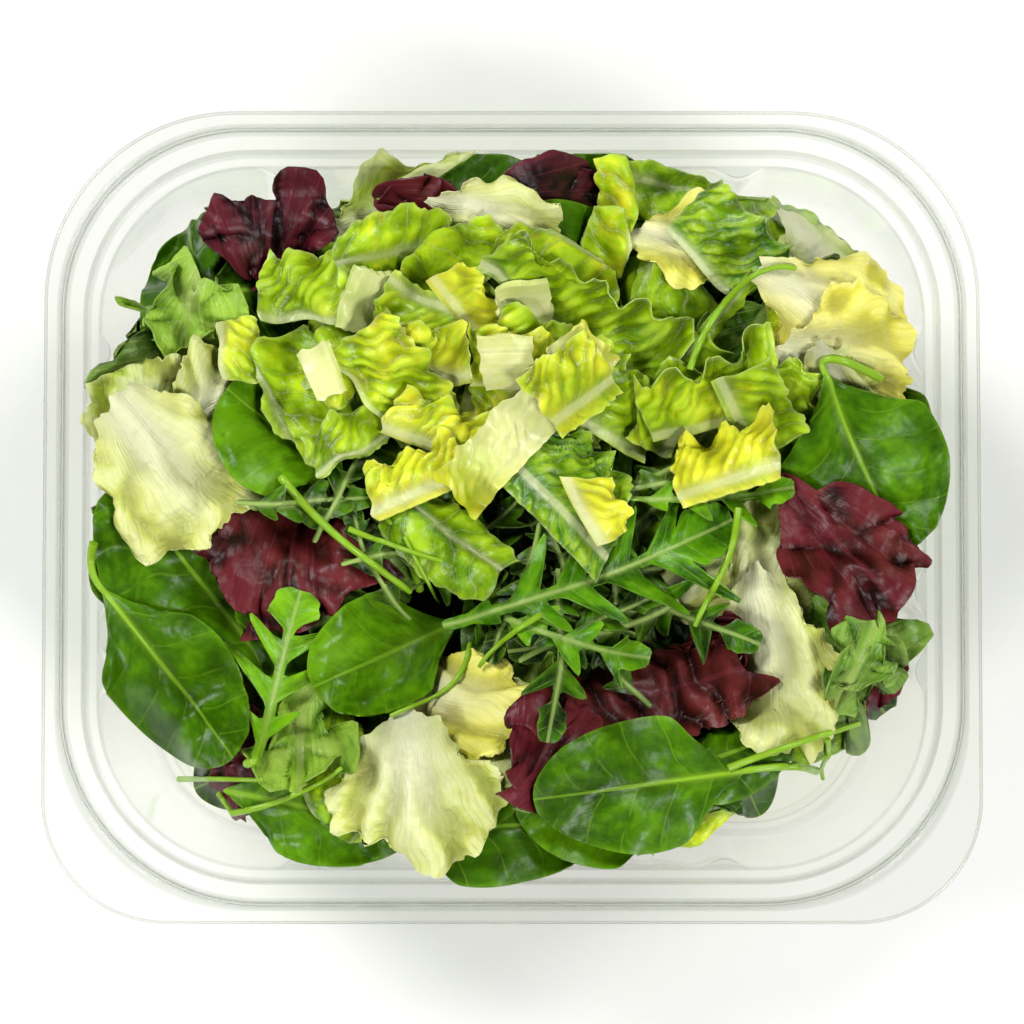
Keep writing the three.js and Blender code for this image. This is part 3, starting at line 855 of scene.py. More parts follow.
TUCKED = 0.9  # mm inwards for each mm of a leaf that is bent
WALL_GAP = 0.7  # mm between the pot's wall and the leaves
OVER_HEAP = 2.0  # mm that leaves at the wall may stand out of the solid heap
STREWN_LEAN, FILL_LEAN = 24, 22  # degrees: the most that leaves of the table with many, and others, tilt
FILL_OUT = 0.88  # share of the heap's outline out to which leaves are strewn under the top
SIDE_KINDS = "spinach smooth_cos curled rocket spinach smooth_cos red iceberg cos curled".split()
TOP_KINDS = "rocket spinach rocket curled rocket smooth_cos".split()
# The shortest and longest leaf of each kind in mm, and its width as a share of its length.
FILL_SIZES = {
    "spinach": (26, 42, 0.62),
    "rocket": (36, 56, 0.4),
    "curled": (24, 36, 0.8),
    "red": (22, 34, 0.85),
    "iceberg": (22, 36, 0.8),
    "cos": (18, 30, 0.6),
    "smooth_cos": (22, 38, 0.55),
}


def draw_in(sheet, heap):
    """Moves a leaf towards the middle until it is inside the heap's outline."""
    limit = 1.05 * read_table(heap, sheet.x, sheet.y, np.full(sheet.x.shape, OUTLINE_LEVEL))
    over = np.hypot(sheet.x, sheet.y) - limit
    at = np.unravel_index(np.argmax(over), over.shape)
    if over[at] > 0:
        x, y = sheet.x[at], sheet.y[at]
        far = math.hypot(x, y)
        sheet.x = sheet.x - x / far * over[at]
        sheet.y = sheet.y - y / far * over[at]


GROUND_DEPTH = 35.0  # mm from the rim down to the ground under the leaves of the top
GROUND_DROP = 6.0  # mm that this ground falls near the outline of the heap
GROUND_END = 1.02  # share of the outline, from which it falls away
FALL_AWAY = 150.0  # mm for each share of the outline beyond that
OVER_POT = 0.5  # mm between the pot and the leaves that lie on it


def support(x, y):
    """The ground under the leaves of the top: a low dome inside the heap's outline, never under the pot."""
    sizes = heap_sizes()
    _, heap, pot = hollow()
    out = np.hypot(x, y) / read_table(heap, x, y, np.full(x.shape, OUTLINE_LEVEL))
    ground = RIM - GROUND_DEPTH + sizes.dome / MM * (1 - np.clip(out, 0, 1) ** 2)
    ground = ground - GROUND_DROP * smooth(0.86, GROUND_END, out)
    ground = ground - FALL_AWAY * np.maximum(out - GROUND_END, 0)
    surface = np.empty_like(ground)
    for index in np.ndindex(x.shape):
        hit = pot.ray_cast(Vector((x[index] * MM, y[index] * MM, 0.2)), Vector((0, 0, -1)))
        surface[index] = hit[0].z / MM + OVER_POT if hit[0] is not None else 0.0
    return np.maximum(ground, surface)


def fill_sheet(random, kind):
    """A leaf of some kind with a drawn size and tone."""
    shortest, longest, breadth = FILL_SIZES[kind]
    length = random.uniform(shortest, longest)
    sheet = SHAPES[kind](random, length, length * breadth * random.uniform(0.85, 1.15), FILL_DETAIL)
    sheet.tone = random.uniform(0.1, 0.75)
    return sheet


def barest(bed, lowest, highest):
    """The place between two heights of the unrolled wall where the least lies."""
    low, high = int(lowest - bed.low[1]), int(highest - bed.low[1])
    band = bed.soft[:, low:high]
    p, q = np.unravel_index(np.argmin(band), band.shape)
    return bed.low[0] + p, bed.low[1] + low + q


def lay_side(random, laid):
    """Leaves that stand against the pot's wall, laid on an unrolled wall and then rolled back round it."""
    wall, heap, _ = hollow()
    depth = heap_sizes().depth / MM
    end = math.pi * SPAN
    bed = Bed((-end, -SIDE_MARGIN), (end, SIDE_TOP + SIDE_MARGIN), lambda p, q: 0 * p, wraps=True)
    own = np.random.default_rng([heap_sizes().seed, BARE_DRAWS])
    for number in range(SIDE_FILL + BARE_FILL):
        draw = random if number < SIDE_FILL else own
        kind = SIDE_KINDS[draw.integers(len(SIDE_KINDS))]
        sheet = fill_sheet(draw, kind)
        sheet.z = sheet.z * SIDE_RELIEF
        place = draw.uniform(-math.pi, math.pi) * SPAN, draw.uniform(6, SIDE_TOP)
        if draw is own:
            place = barest(bed, 8, SIDE_TOP - 14)
        put(sheet, *place, draw.uniform(0, 360))
        settle(bed, sheet, LIMP, ceiling=depth - 0.3 - CLIMB * max(SIDE_FILL - number, 0))
        turn, out = sheet.x / SPAN, sheet.z
        under, over = np.maximum(SIDE_FOOT - sheet.y, 0), np.maximum(sheet.y - SIDE_TOP, 0)
        sunk, risen = 1 - np.exp(-under / TURN_UNDER), 1 - np.exp(-over / TURN_OVER)
        level = np.clip(sheet.y, SIDE_FOOT, SIDE_TOP) - TURN_UNDER * sunk + 2 * risen
        x, y = np.cos(turn), np.sin(turn)
        to_wall, to_outline = read_table(wall, x, y, level), read_table(heap, x, y, level)
        reach = np.minimum(to_wall - WALL_GAP, to_outline + OVER_HEAP)
        reach = reach - depth + out - (under + over) * TUCKED * (sunk + risen)
        sheet.x, sheet.y, sheet.z = x * reach, y * reach, level
        laid.setdefault(kind, []).append(sheet)


def several(leaves):
    """The leaves one by one: an entry with many stands for that many leaves strewn about its place."""
    for number, (kind, x, y, heading, length, width, tone, *rest) in enumerate(leaves):
        more = rest[0] if rest else {}
        if "many" not in more:
            yield kind, x, y, heading, length, width, tone, more
            continue
        own = np.random.default_rng([heap_sizes().seed, STREWN_DRAWS + number])
        count, across, along = more["many"]
        for _ in range(count):
            turn, out = own.uniform(0, 2 * math.pi), math.sqrt(own.uniform(0, 1))
            place = x + across * out * math.cos(turn), y + along * out * math.sin(turn)
            size = own.uniform(0.75, 1.2)
            tilts = {key: own.uniform(-STREWN_LEAN, STREWN_LEAN) for key in ("pitch", "roll")}
            turned, shade = own.uniform(0, 360), own.uniform(-0.2, 0.2)
            yield kind, *place, turned, length * size, width * size, tone + shade, tilts


def lay_top(random, laid, stalks):
    """The leaves of the heap's top: seeded ones first, then those of the table."""
    _, heap, _ = hollow()
    bed = Bed((-HALF_WIDTH, -HALF_DEPTH), (HALF_WIDTH, HALF_DEPTH), support)
    for sheet in [s for sheets in laid.values() for s in sheets]:
        bed.cover(sheet.x, sheet.y, sheet.z)
    for _ in range(TOP_FILL):
        kind = TOP_KINDS[random.integers(len(TOP_KINDS))]
        sheet = fill_sheet(random, kind)
        sheet.tone *= SHADED
        turn, out = random.uniform(0, 2 * math.pi), math.sqrt(random.uniform(0, 1)) * FILL_OUT
        reach = out * read_table(heap, np.cos(turn), np.sin(turn), OUTLINE_LEVEL)
        tilts = random.uniform(-FILL_LEAN, FILL_LEAN, 2)
        put(sheet, reach * math.cos(turn), reach * math.sin(turn), random.uniform(0, 360), *tilts)
        draw_in(sheet, heap)
        settle(bed, sheet, LIMP)
        laid.setdefault(kind, []).append(sheet)
    for number, (kind, x, y, heading, length, width, tone, more) in enumerate(several(TOP_LEAVES)):
        own = np.random.default_rng([heap_sizes().seed, number])
        sheet = SHAPES[kind](own, length, width, DETAIL)
        sheet.tone = tone
        if "fold" in more:
            fold(sheet, *more["fold"])
        put(sheet, x * HALF_WIDTH, y * HALF_DEPTH, heading, more.get("pitch", 0), more.get("roll", 0))
        draw_in(sheet, heap)
        settle(bed, sheet, CRISP)
        if "stalk" in more:
            stalks.append(stalk_path(bed, sheet, more["stalk"]))
        laid.setdefault(kind, []).append(sheet)
    for shares, thickness in LOOSE_STEMS:
        stalks.append(loose_path(bed, shares, thickness))


# Loose stems over the leaves: points as shares of the pot's half width and half depth, and a thickness in mm.
LOOSE_STEMS = [
    ([(-0.49, 0.09), (-0.42, 0.0), (-0.33, -0.09), (-0.22, -0.18)], 1.9),
    ([(-0.35, -0.03), (-0.26, -0.07), (-0.15, -0.11)], 1.3),
    ([(0.485, 0.02), (0.465, -0.09), (0.43, -0.18), (0.39, -0.27)], 1.6),
    ([(-0.74, -0.64), (-0.64, -0.645), (-0.53, -0.65)], 1.3),
    ([(-0.60, -0.73), (-0.47, -0.69), (-0.36, -0.62)], 1.4),
    ([(-0.63, -0.68), (-0.60, -0.73)], 1.3),
    ([(-0.09, -0.31), (-0.12, -0.40), (-0.18, -0.45), (-0.26, -0.49)], 1.2),
    ([(0.06, -0.25), (-0.02, -0.31), (-0.07, -0.37)], 1.3),
    ([(0.38, 0.36), (0.44, 0.50), (0.52, 0.58), (0.60, 0.59)], 1.5),
    ([(0.46, -0.62), (0.58, -0.57), (0.74, -0.51)], 1.6),
    ([(0.67, -0.55), (0.69, -0.64)], 1.2),
    ([(-0.23, -0.05), (-0.19, -0.14), (-0.16, -0.20)], 0.9),
]


def curve_through(points, count):
    """Points spaced along a smooth line through a few given ones."""
    points = np.array(points, float)
    given, wanted = np.linspace(0, 1, len(points)), np.linspace(0, 1, count)
    degree = min(len(points) - 1, 3)
    return np.stack([np.polyval(np.polyfit(given, axis, degree), wanted) for axis in points.T], 1)


def over_ground(ground):
    """Heights averaged along a path, and never under the ground."""
    level = np.convolve(np.pad(ground, 2, mode="edge"), np.ones(5) / 5, mode="valid")
    return np.maximum(level, ground)


def stalk_path(bed, sheet, end):
    """A stalk from its cut end to the leaf's base and on along the midrib, as points with a thickness."""
    middle = sheet.x.shape[1] // 2
    midrib = slice(1, int(sheet.x.shape[0] * 0.4))
    inside = np.column_stack([axis[midrib, middle] for axis in (sheet.x, sheet.y, sheet.z)])
    end = np.array((end[0] * HALF_WIDTH, end[1] * HALF_DEPTH))
    base, ahead = inside[0], inside[4]
    away = base[:2] - ahead[:2]
    away = away / np.hypot(*away)
    reach = math.hypot(end[0] - base[0], end[1] - base[1])
    bent = base[:2] + away * reach * 0.45
    outer = curve_through([end, (end + 2 * bent) / 3 * 0.5 + bent * 0.5, base[:2]], 14)
    share = np.linspace(0, 1, len(outer))
    level = over_ground(bed.read(bed.height, outer[:, 0], outer[:, 1]) + 0.9)
    level = level * (1 - share**3) + (base[2] + 0.1) * share**3
    outside = np.column_stack([outer, level])[:-1]
    points = np.vstack([outside, inside + [0, 0, 0.05]])
    radius = np.concatenate([np.linspace(0.95, 0.7, len(outside)), np.linspace(0.65, 0.1, len(inside))])
    points[len(outside) :, 2] -= 0.6 * radius[len(outside) :] + np.linspace(0, 0.45, len(inside)) ** 2
    return points, radius


def loose_path(bed, shares, thickness):
    """A stem that lies on the leaves, as points with a thickness."""
    flat = curve_through([(x * HALF_WIDTH, y * HALF_DEPTH) for x, y in shares], 16)
    level = over_ground(bed.read(bed.height, flat[:, 0], flat[:, 1]) + thickness / 2)
    return np.column_stack([flat, level]), thickness / 2 * np.linspace(1.0, 0.7, len(flat))


PRESSED_FROM = 48.0  # mm over the floor: above it the heap is pressed together to its height
HEAP_ROOM = 6.0  # mm that single leaves stand over the solid heap


def pressed(z, press):
    """Heights with the part above a level pressed together."""
    return np.where(z > PRESSED_FROM, PRESSED_FROM + (z - PRESSED_FROM) * press, z)


@cache
def lay_heap():
    """Every laid leaf by kind, and the stalks, from one seeded draw."""
    laid, stalks = {}, []
    random = np.random.default_rng(heap_sizes().seed)
    lay_side(random, laid)
    lay_top(random, laid, stalks)
    sheets = [sheet for kind in laid.values() for sheet in kind]
    top, limit = max(s.z.max() for s in sheets), HEAP_HIGH.z / MM + HEAP_ROOM
    press = min((limit - PRESSED_FROM) / (top - PRESSED_FROM), 1.0)
    for sheet in sheets:
        sheet.z = pressed(sheet.z, press)
    for points, _ in stalks:
        points[:, 2] = pressed(points[:, 2], press)
    return laid, stalks


# ---------------------------------------------------------------- meshes of the leaves


def normals(sheet):
    """The unit normals of a sheet's points."""
    points = np.stack([sheet.x, sheet.y, sheet.z], axis=2)
    normal = np.cross(np.gradient(points, axis=0), np.gradient(points, axis=1))
    return normal / np.maximum(np.linalg.norm(normal, axis=2, keepdims=True), 1e-9)


def shell(sheet):
    """A closed shell of one leaf: its upper side, its under side, and the cut margin between them."""
    top = np.stack([sheet.x, sheet.y, sheet.z], axis=2)
    under = top - normals(sheet) * sheet.thickness[..., None]
    rows, columns = sheet.x.shape
    half = rows * columns
    number = np.arange(half).reshape(rows, columns)
    corners = [number[:-1, :-1], number[1:, :-1], number[1:, 1:], number[:-1, 1:]]
    quads = np.stack(corners, axis=2).reshape(-1, 4)
    ring = np.concatenate([number[0, :-1], number[:-1, -1], number[-1, :0:-1], number[:0:-1, 0]])
    after = np.roll(ring, -1)
    side = np.stack([ring, after, after + half, ring + half], axis=1)
    faces = np.vstack([quads, quads[:, ::-1] + half, side])
    return np.vstack([top.reshape(-1, 3), under.reshape(-1, 3)]), faces, ring


OWN_PATTERN = np.array([61.0, 37.0])  # mm from one leaf's part of the patterns to the next one's


def leaves_mesh(name, sheets):
    """One mesh of many leaves, with what their material reads: their veins, tone, pale parts, and how raised
    each point is, for the painted shade and highlight of their relief.
    """
    points, faces, ring, vein, flat, tone, pale, raised = ([] for _ in range(8))
    count = 0
    for number, sheet in enumerate(sheets):
        own, quads, border = shell(sheet)
        points.append(own)
        faces.append(quads + count)
        ring += [border + count, border + count + len(own) // 2]
        count += len(own)
        vein.append(np.tile(np.column_stack([sheet.vein.ravel(), sheet.midrib.ravel()]), (2, 1)))
        shift = number * OWN_PATTERN
        flat.append(np.tile(np.column_stack([a.ravel() for a in sheet.flat]), (2, 1)) + shift)
        tone.append(np.full(len(own), sheet.tone))
        pale.append(np.tile(sheet.pale.ravel(), 2))
        raised.append(np.concatenate([sheet.raised.ravel(), -sheet.raised.ravel()]))
    mesh = grid_mesh(name, np.vstack(points), np.vstack(faces))
    corners = np.vstack(faces).ravel()
    for key, values in (("vein", vein), ("flat", flat)):
        layer = mesh.uv_layers.new(name=key)
        layer.uv.foreach_set("vector", np.vstack(values)[corners].astype(np.float32).ravel())
    for key, values in (("tone", tone), ("pale", pale), ("raised", raised)):
        attribute = mesh.attributes.new(key, "FLOAT", "POINT")
        attribute.data.foreach_set("value", np.concatenate(values).astype(np.float32))
    border = np.zeros(count, bool)
    border[np.concatenate(ring)] = True
    ends = np.empty(2 * len(mesh.edges), np.int32)
    mesh.edges.foreach_get("vertices", ends)
    sharp = mesh.attributes.new("sharp_edge", "BOOLEAN", "EDGE")
    sharp.data.foreach_set("value", border[ends.reshape(-1, 2)].all(axis=1))
    mesh.validate()
    return mesh


# ---------------------------------------------------------------- materials


def spread(made, stops):
    """Sets the colours of a colour ramp at their places, and gives its output."""
    elements = made.color_ramp.elements
    while len(elements) < len(stops):
        elements.new(0.5)
    for element, (place, colour) in zip(elements, stops):
        element.position, element.color = place, colour
    return made.outputs["Color"]


PATCH, SPECK, FADE, PUCKER = 9.0, 0.9, 5.0, 2.6  # mm: sizes of the patterns in a leaf
WATER = 1.33  # IOR of a leaf's wet surface
JUICE = 1.42  # IOR of the skin of stems and small leaves
STRAIGHT_THROUGH = 0.72  # share of the light that passes the plastic unbent


def leaf_material(
    name, stops, vein, rib, ridge, midrib, side, net, rough, relief, relief_shading, ridge_highlight_strength, through=0.15, wet=0.0
):
    """Fresh leaf. Stops are its colours by tone, vein and rib those of its veins and its base, and ridge
    the colour of the painted highlight on its crests. Midrib is half its width in mm and its strength, side
    half the width of a side vein as a share of their spacing and its strength, net the mesh of fine veins in
    mm and its strength. Relief is the depth of the fine relief in mm, relief_shading how strongly painted
    shade darkens its folds and painted light brightens its crests, ridge_highlight_strength how strongly the
    painted highlight colour is laid on its crests, through the share of light let through, and wet how much
    water lies on it."""
    tints = leaf_colours()
    stops = [(place, getattr(tints, key)) for place, key in stops]
    vein, rib, ridge = (getattr(tints, key) for key in (vein, rib, ridge))
    material, node = new_material(name)
    ribs = node("ShaderNodeUVMap", uv_map="vein").outputs["UV"]
    ribs = node("ShaderNodeSeparateXYZ", {"Vector": ribs}).outputs
    flat = node("ShaderNodeUVMap", uv_map="flat").outputs["UV"]
    tone, pale, raised = (
        node("ShaderNodeAttribute", attribute_name=key).outputs["Fac"] for key in ("tone", "pale", "raised")
    )
    patches, specks, fading, pucker = (
        node(
            "ShaderNodeTexNoise", {"Vector": flat, "Scale": 1 / size, "Detail": detail}, noise_dimensions="2D"
        ).outputs["Fac"]
        for size, detail in ((PATCH, 3.0), (SPECK, 2.0), (FADE, 1.0), (PUCKER, 1.0))
    )

    # streaks that run along the side veins
    shift = node("ShaderNodeMath", {0: tone, 1: 40.0}, operation="MULTIPLY").outputs[0]
    across = node("ShaderNodeMath", {0: ribs["Y"], 1: 0.12}, operation="MULTIPLY").outputs[0]
    along = node("ShaderNodeCombineXYZ", {"X": ribs["X"], "Y": across, "Z": shift}).outputs["Vector"]
    streaks = node("ShaderNodeTexNoise", {"Vector": along, "Scale": 3.0, "Detail": 3.0}).outputs["Fac"]

    # each leaf's tone, uneven over patches and along the streaks, darker in its folds as painted shade, and
    # lighter on its crests as painted light, where a painted highlight colour is mixed in as well
    place = tone
    for pattern, share in ((patches, 0.9), (streaks, 0.8)):
        place = node("ShaderNodeMath", {0: pattern, 1: share, 2: place}, operation="MULTIPLY_ADD").outputs[0]
    place = node("ShaderNodeMath", {0: place, 1: 0.85}, operation="SUBTRACT").outputs[0]
    colour = spread(node("ShaderNodeValToRGB", {"Fac": place}), stops)
    value = node("ShaderNodeMath", {0: raised, 1: relief_shading, 2: 1.0}, operation="MULTIPLY_ADD").outputs[0]
    colour = node("ShaderNodeHueSaturation", {"Color": colour, "Value": value}).outputs["Color"]
    uneven = node("ShaderNodeMath", {0: streaks, 1: 2 * ridge_highlight_strength}, operation="MULTIPLY").outputs[0]
    ridge_highlight_share = node("ShaderNodeMath", {0: raised, 1: uneven}, operation="MULTIPLY").outputs[0]
    colour = node("ShaderNodeMix", {0: ridge_highlight_share, 6: colour, 7: ridge}, data_type="RGBA").outputs[2]

    # the midrib, the side veins, which fade here and there, and the fine mesh between them: each has its full
    # strength up to one distance from its middle, and none from the next
    beside = node("ShaderNodeMath", {0: ribs["X"], 1: 0.5}, operation="PINGPONG").outputs[0]
    cells = node(
        "ShaderNodeTexVoronoi",
        {"Vector": flat, "Scale": 1 / net[0]},
        feature="DISTANCE_TO_EDGE",
        voronoi_dimensions="2D",
    ).outputs["Distance"]
    on_midrib, on_side, on_net = (
        node(
            "ShaderNodeMapRange",
            {"Value": distance, "From Min": full, "From Max": none, "To Min": strength, "To Max": 0.0},
            interpolation_type="SMOOTHSTEP",
        ).outputs["Result"]
        for distance, full, none, strength in (
            (ribs["Y"], midrib[0] * 0.4, *midrib),
            (beside, side[0] * 0.2, *side),
            (cells, 0.03, 0.13, net[1]),
        )
    )
    fading = node("ShaderNodeMapRange", {"Value": fading, "From Min": 0.3, "From Max": 0.5}).outputs[0]
    on_side = node("ShaderNodeMath", {0: on_side, 1: fading}, operation="MULTIPLY").outputs[0]
    lines = node("ShaderNodeMath", {0: on_side, 1: on_midrib}, operation="MAXIMUM").outputs[0]
    lines = node("ShaderNodeMath", {0: lines, 1: on_net}, operation="MAXIMUM").outputs[0]
    for share, tint in ((lines, vein), (pale, rib)):
        colour = node("ShaderNodeMix", {0: share, 6: colour, 7: tint}, data_type="RGBA").outputs[2]

    # soft puckers, fine specks and streaks, with the veins a little sunk
    height = pucker
    for pattern, share in ((specks, 0.15), (streaks, 0.6), (lines, -0.25)):
        terms = {0: pattern, 1: share, 2: height}
        height = node("ShaderNodeMath", terms, operation="MULTIPLY_ADD").outputs[0]
    bump = {"Height": height, "Strength": 0.8, "Distance": relief * MM}
    bump = node("ShaderNodeBump", bump).outputs["Normal"]
    gloss = node(
        "ShaderNodeBsdfPrincipled",
        {
            "Base Color": colour,
            "Roughness": rough,
            "IOR": WATER,
            "Normal": bump,
            "Coat Weight": wet,
            "Coat Roughness": 0.14,
            "Coat IOR": WATER,
        },
    ).outputs["BSDF"]
    glow = node("ShaderNodeBsdfTranslucent", {"Color": colour, "Normal": bump}).outputs["BSDF"]
    both = node("ShaderNodeMixShader", {0: through, 1: gloss, 2: glow}).outputs["Shader"]
    node("ShaderNodeOutputMaterial", {"Surface": both})
    return material


# The material of each kind of leaf, by the name of its piece. In each, relief_shading paints shade into the
# folds and light onto the crests, and the ridge colour is a painted highlight on the crests.
LEAF_FINISHES = {
    # Smooth waxy leaf: broad soft sheen, veins a little sunk, lighter than the blade.
    "spinach_leaves": dict(
        name="Spinach leaf, waxy",
        stops=[(0.0, "spinach_dark"), (0.6, "spinach"), (1.0, "spinach_light")],
        vein="spinach_vein", rib="spinach_vein", ridge="spinach_light",
        midrib=(0.6, 0.6), side=(0.05, 0.24), net=(2.4, 0.03),
        rough=0.31, relief=0.2, relief_shading=0.4, ridge_highlight_strength=0.25, through=0.1,
    ),
    # Thin matt leaf with a strong white midrib.
    "rocket_leaves": dict(
        name="Rocket leaf, matt",
        stops=[(0.0, "rocket_dark"), (0.5, "rocket"), (1.0, "rocket_light")],
        vein="rocket_vein", rib="rocket_vein", ridge="rocket_light",
        midrib=(0.5, 0.6), side=(0.05, 0.25), net=(1.8, 0.03),
        rough=0.32, relief=0.35, relief_shading=0.35, ridge_highlight_strength=0.3,
    ),
    # Frilly lettuce: folds darkened by painted shade, light thin margins.
    "curled_leaves": dict(
        name="Frilly lettuce, thin",
        stops=[(0.0, "curled_dark"), (0.5, "curled"), (1.0, "curled_light")],
        vein="curled_vein", rib="curled_vein", ridge="curled_vein",
        midrib=(1.0, 0.4), side=(0.08, 0.35), net=(2.0, 0.05),
        rough=0.32, relief=0.6, relief_shading=0.55, ridge_highlight_strength=0.3,
    ),
    # Red lettuce: nearly black in its folds, partly its own dark colour and partly painted shade, with a
    # strong silky sheen and a painted mauve highlight on its crests.
    "red_leaves": dict(
        name="Red lettuce, silky",
        stops=[(0.0, "red_dark"), (0.55, "red"), (1.0, "red_light")],
        vein="red_vein", rib="red_vein", ridge="red_ridge",
        midrib=(0.7, 0.35), side=(0.07, 0.3), net=(1.6, 0.05),
        rough=0.38, relief=0.35, relief_shading=0.8, ridge_highlight_strength=0.32, through=0.06,
    ),
    # Iceberg lettuce: watery and crisp, faint fine veins, light passes through it.
    "iceberg_pieces": dict(
        name="Iceberg lettuce, crisp",
        stops=[(0.0, "iceberg"), (0.2, "iceberg"), (0.85, "iceberg_green")],
        vein="iceberg_vein", rib="iceberg_rib", ridge="iceberg_rib",
        midrib=(2.0, 0.0), side=(0.22, 0.24), net=(1.7, 0.03),
        rough=0.28, relief=0.6, relief_shading=0.32, ridge_highlight_strength=0.4,
    ),
    # Heart of escarole: as crisp as iceberg lettuce, more yellow.
    "yellow_pieces": dict(
        name="Escarole heart, crisp",
        stops=[(0.0, "yellow"), (0.5, "yellow"), (1.0, "yellow_green")],
        vein="yellow_green", rib="iceberg_rib", ridge="iceberg_rib",
        midrib=(1.6, 0.0), side=(0.22, 0.24), net=(1.7, 0.03),
        rough=0.28, relief=0.6, relief_shading=0.32, ridge_highlight_strength=0.22,
    ),
    # Cut cos lettuce: crinkled, lime to yellow, with a wet sheen from its coat and a pale painted highlight
    # on its crests.
    "cos_pieces": dict(
        name="Cos lettuce, crinkled",
        stops=[(0.0, "cos_heart"), (0.45, "cos"), (1.0, "cos_green")],
        vein="cos_rib", rib="cos_rib", ridge="ridge",
        midrib=(1.2, 0.45), side=(0.07, 0.1), net=(1.8, 0.03),
        rough=0.27, relief=0.45, relief_shading=0.5, ridge_highlight_strength=0.3, wet=0.15,
    ),
    # Outer cos and young lettuce: smooth, limp and thin.
    "young_pieces": dict(
        name="Young lettuce, smooth",
        stops=[(0.0, "cos_heart"), (0.4, "cos"), (1.0, "cos_green")],
        vein="cos_rib", rib="cos_rib", ridge="ridge",
        midrib=(0.6, 0.25), side=(0.05, 0.2), net=(1.8, 0.04),
        rough=0.3, relief=0.5, relief_shading=0.5, ridge_highlight_strength=0.15, wet=0.05,
    ),
    # Cut midrib: pale and watery, with faint lengthwise fibres.
    "rib_pieces": dict(
        name="Cos midrib, wet",
        stops=[(0.0, "cos_heart"), (0.6, "cos"), (1.0, "cos")],
        vein="cos", rib="cut_rib", ridge="cut_rib",
        midrib=(1.4, 0.0), side=(0.3, 0.35), net=(1.2, 0.0),
        rough=0.28, relief=0.3, relief_shading=0.2, ridge_highlight_strength=0.3, through=0.1, wet=0.3,
    ),
}
LEAVES_IN_A_PIECE = {
    "spinach_leaves": ["spinach"],
    "rocket_leaves": ["rocket"],
    "curled_leaves": ["curled"],
    "red_leaves": ["red", "ruffled"],
    "iceberg_pieces": ["iceberg"],
    "yellow_pieces": ["yellow"],
    "cos_pieces": ["cos"],
    "young_pieces": ["smooth_cos"],
    "rib_pieces": ["rib", "banded"],
}


def make_leaves(piece):
    """Makes the one mesh of every leaf of a kind."""
    laid, _ = lay_heap()
    sheets = [s for kind in LEAVES_IN_A_PIECE[piece] for s in laid.get(kind, [])]
    material = leaf_material(**LEAF_FINISHES[piece])
    add_piece(piece, leaves_mesh(piece, sheets), material, "salad_leaves")


def clear_plastic():
    """Thermoformed PET sheet: clear and very glossy. Its sharp bends show as thin lines, with painted shade
    in a greyer tint along them.
    Light passes through it to the leaves, so that its shadow is faint."""
    material, node = new_material("PET sheet, clear, thermoformed")
    where = node("ShaderNodeTexCoord").outputs["Object"]
    swirl = {"Vector": where, "Scale": 1 / (14 * MM), "Detail": 2.0}
    swirl = node("ShaderNodeTexNoise", swirl).outputs["Fac"]
    bump = {"Height": swirl, "Strength": 0.35, "Distance": 0.35 * MM}
    bump = node("ShaderNodeBump", bump).outputs["Normal"]
    # painted shade: the plastic turns a darker grey along its sharp bends
    bend = node("ShaderNodeAttribute", attribute_name="bend").outputs["Fac"]
    tints = {0: bend, 6: pot_sizes().tint, 7: pot_sizes().bend_shade}
    tint = node("ShaderNodeMix", tints, data_type="RGBA").outputs[2]
    sheet = node(
        "ShaderNodeBsdfPrincipled",
        {"Base Color": tint, "Roughness": 0.03, "IOR": 1.57, "Transmission Weight": 1.0, "Normal": bump},
    ).outputs["BSDF"]
    clear = node("ShaderNodeBsdfTransparent", {"Color": tint}).outputs["BSDF"]
    path = node("ShaderNodeLightPath").outputs
    skip = {0: path["Is Shadow Ray"], 1: path["Is Diffuse Ray"]}
    skip = node("ShaderNodeMath", skip, operation="MAXIMUM").outputs[0]
    skip = node("ShaderNodeMath", {0: skip, 1: STRAIGHT_THROUGH}, operation="MAXIMUM").outputs[0]
    both = node("ShaderNodeMixShader", {0: skip, 1: sheet, 2: clear}).outputs["Shader"]
    node("ShaderNodeOutputMaterial", {"Surface": both})
    return material


def depth_material():
    """Deep shade between wet leaves: dull dark green that breaks up into smaller darker patches."""
    material, node = new_material("Leaves in deep shade")
    where = node("ShaderNodeTexCoord").outputs["Object"]
    noise = node("ShaderNodeTexNoise", {"Vector": where, "Scale": 1 / 0.008, "Detail": 3.0}).outputs["Fac"]
    stops = [(0.3, leaf_colours().core_dark), (0.7, leaf_colours().core)]
    colour = spread(node("ShaderNodeValToRGB", {"Fac": noise}), stops)
    bump = node("ShaderNodeBump", {"Height": noise, "Distance": 3 * MM}).outputs["Normal"]
    dull = {"Base Color": colour, "Roughness": 0.7, "Normal": bump}
    surface = node("ShaderNodeBsdfPrincipled", dull).outputs["BSDF"]
    node("ShaderNodeOutputMaterial", {"Surface": surface})
    return material


def shred_material():
    """Small leaves deep in the heap, each in its own green or red, satin."""
    material, node = new_material("Small leaves in shade")
    c = leaf_colours()
    tone = node("ShaderNodeAttribute", attribute_name="tone").outputs["Fac"]
    where = node("ShaderNodeTexCoord").outputs["Object"]
    noise = node("ShaderNodeTexNoise", {"Vector": where, "Scale": 1 / 0.003, "Detail": 2.0}).outputs["Fac"]
    place = node("ShaderNodeMath", {0: noise, 1: 0.2, 2: tone}, operation="MULTIPLY_ADD").outputs[0]
    stops = [(0.1, c.spinach_dark), (0.45, c.spinach), (0.65, c.red), (0.8, c.curled_dark), (1.0, c.curled)]
    colour = spread(node("ShaderNodeValToRGB", {"Fac": place}), stops)
    bump = node("ShaderNodeBump", {"Height": noise, "Distance": 0.4 * MM}).outputs["Normal"]
    satin = {"Base Color": colour, "Roughness": 0.42, "IOR": JUICE, "Normal": bump}
    surface = node("ShaderNodeBsdfPrincipled", satin).outputs["BSDF"]
    node("ShaderNodeOutputMaterial", {"Surface": surface})
    return material


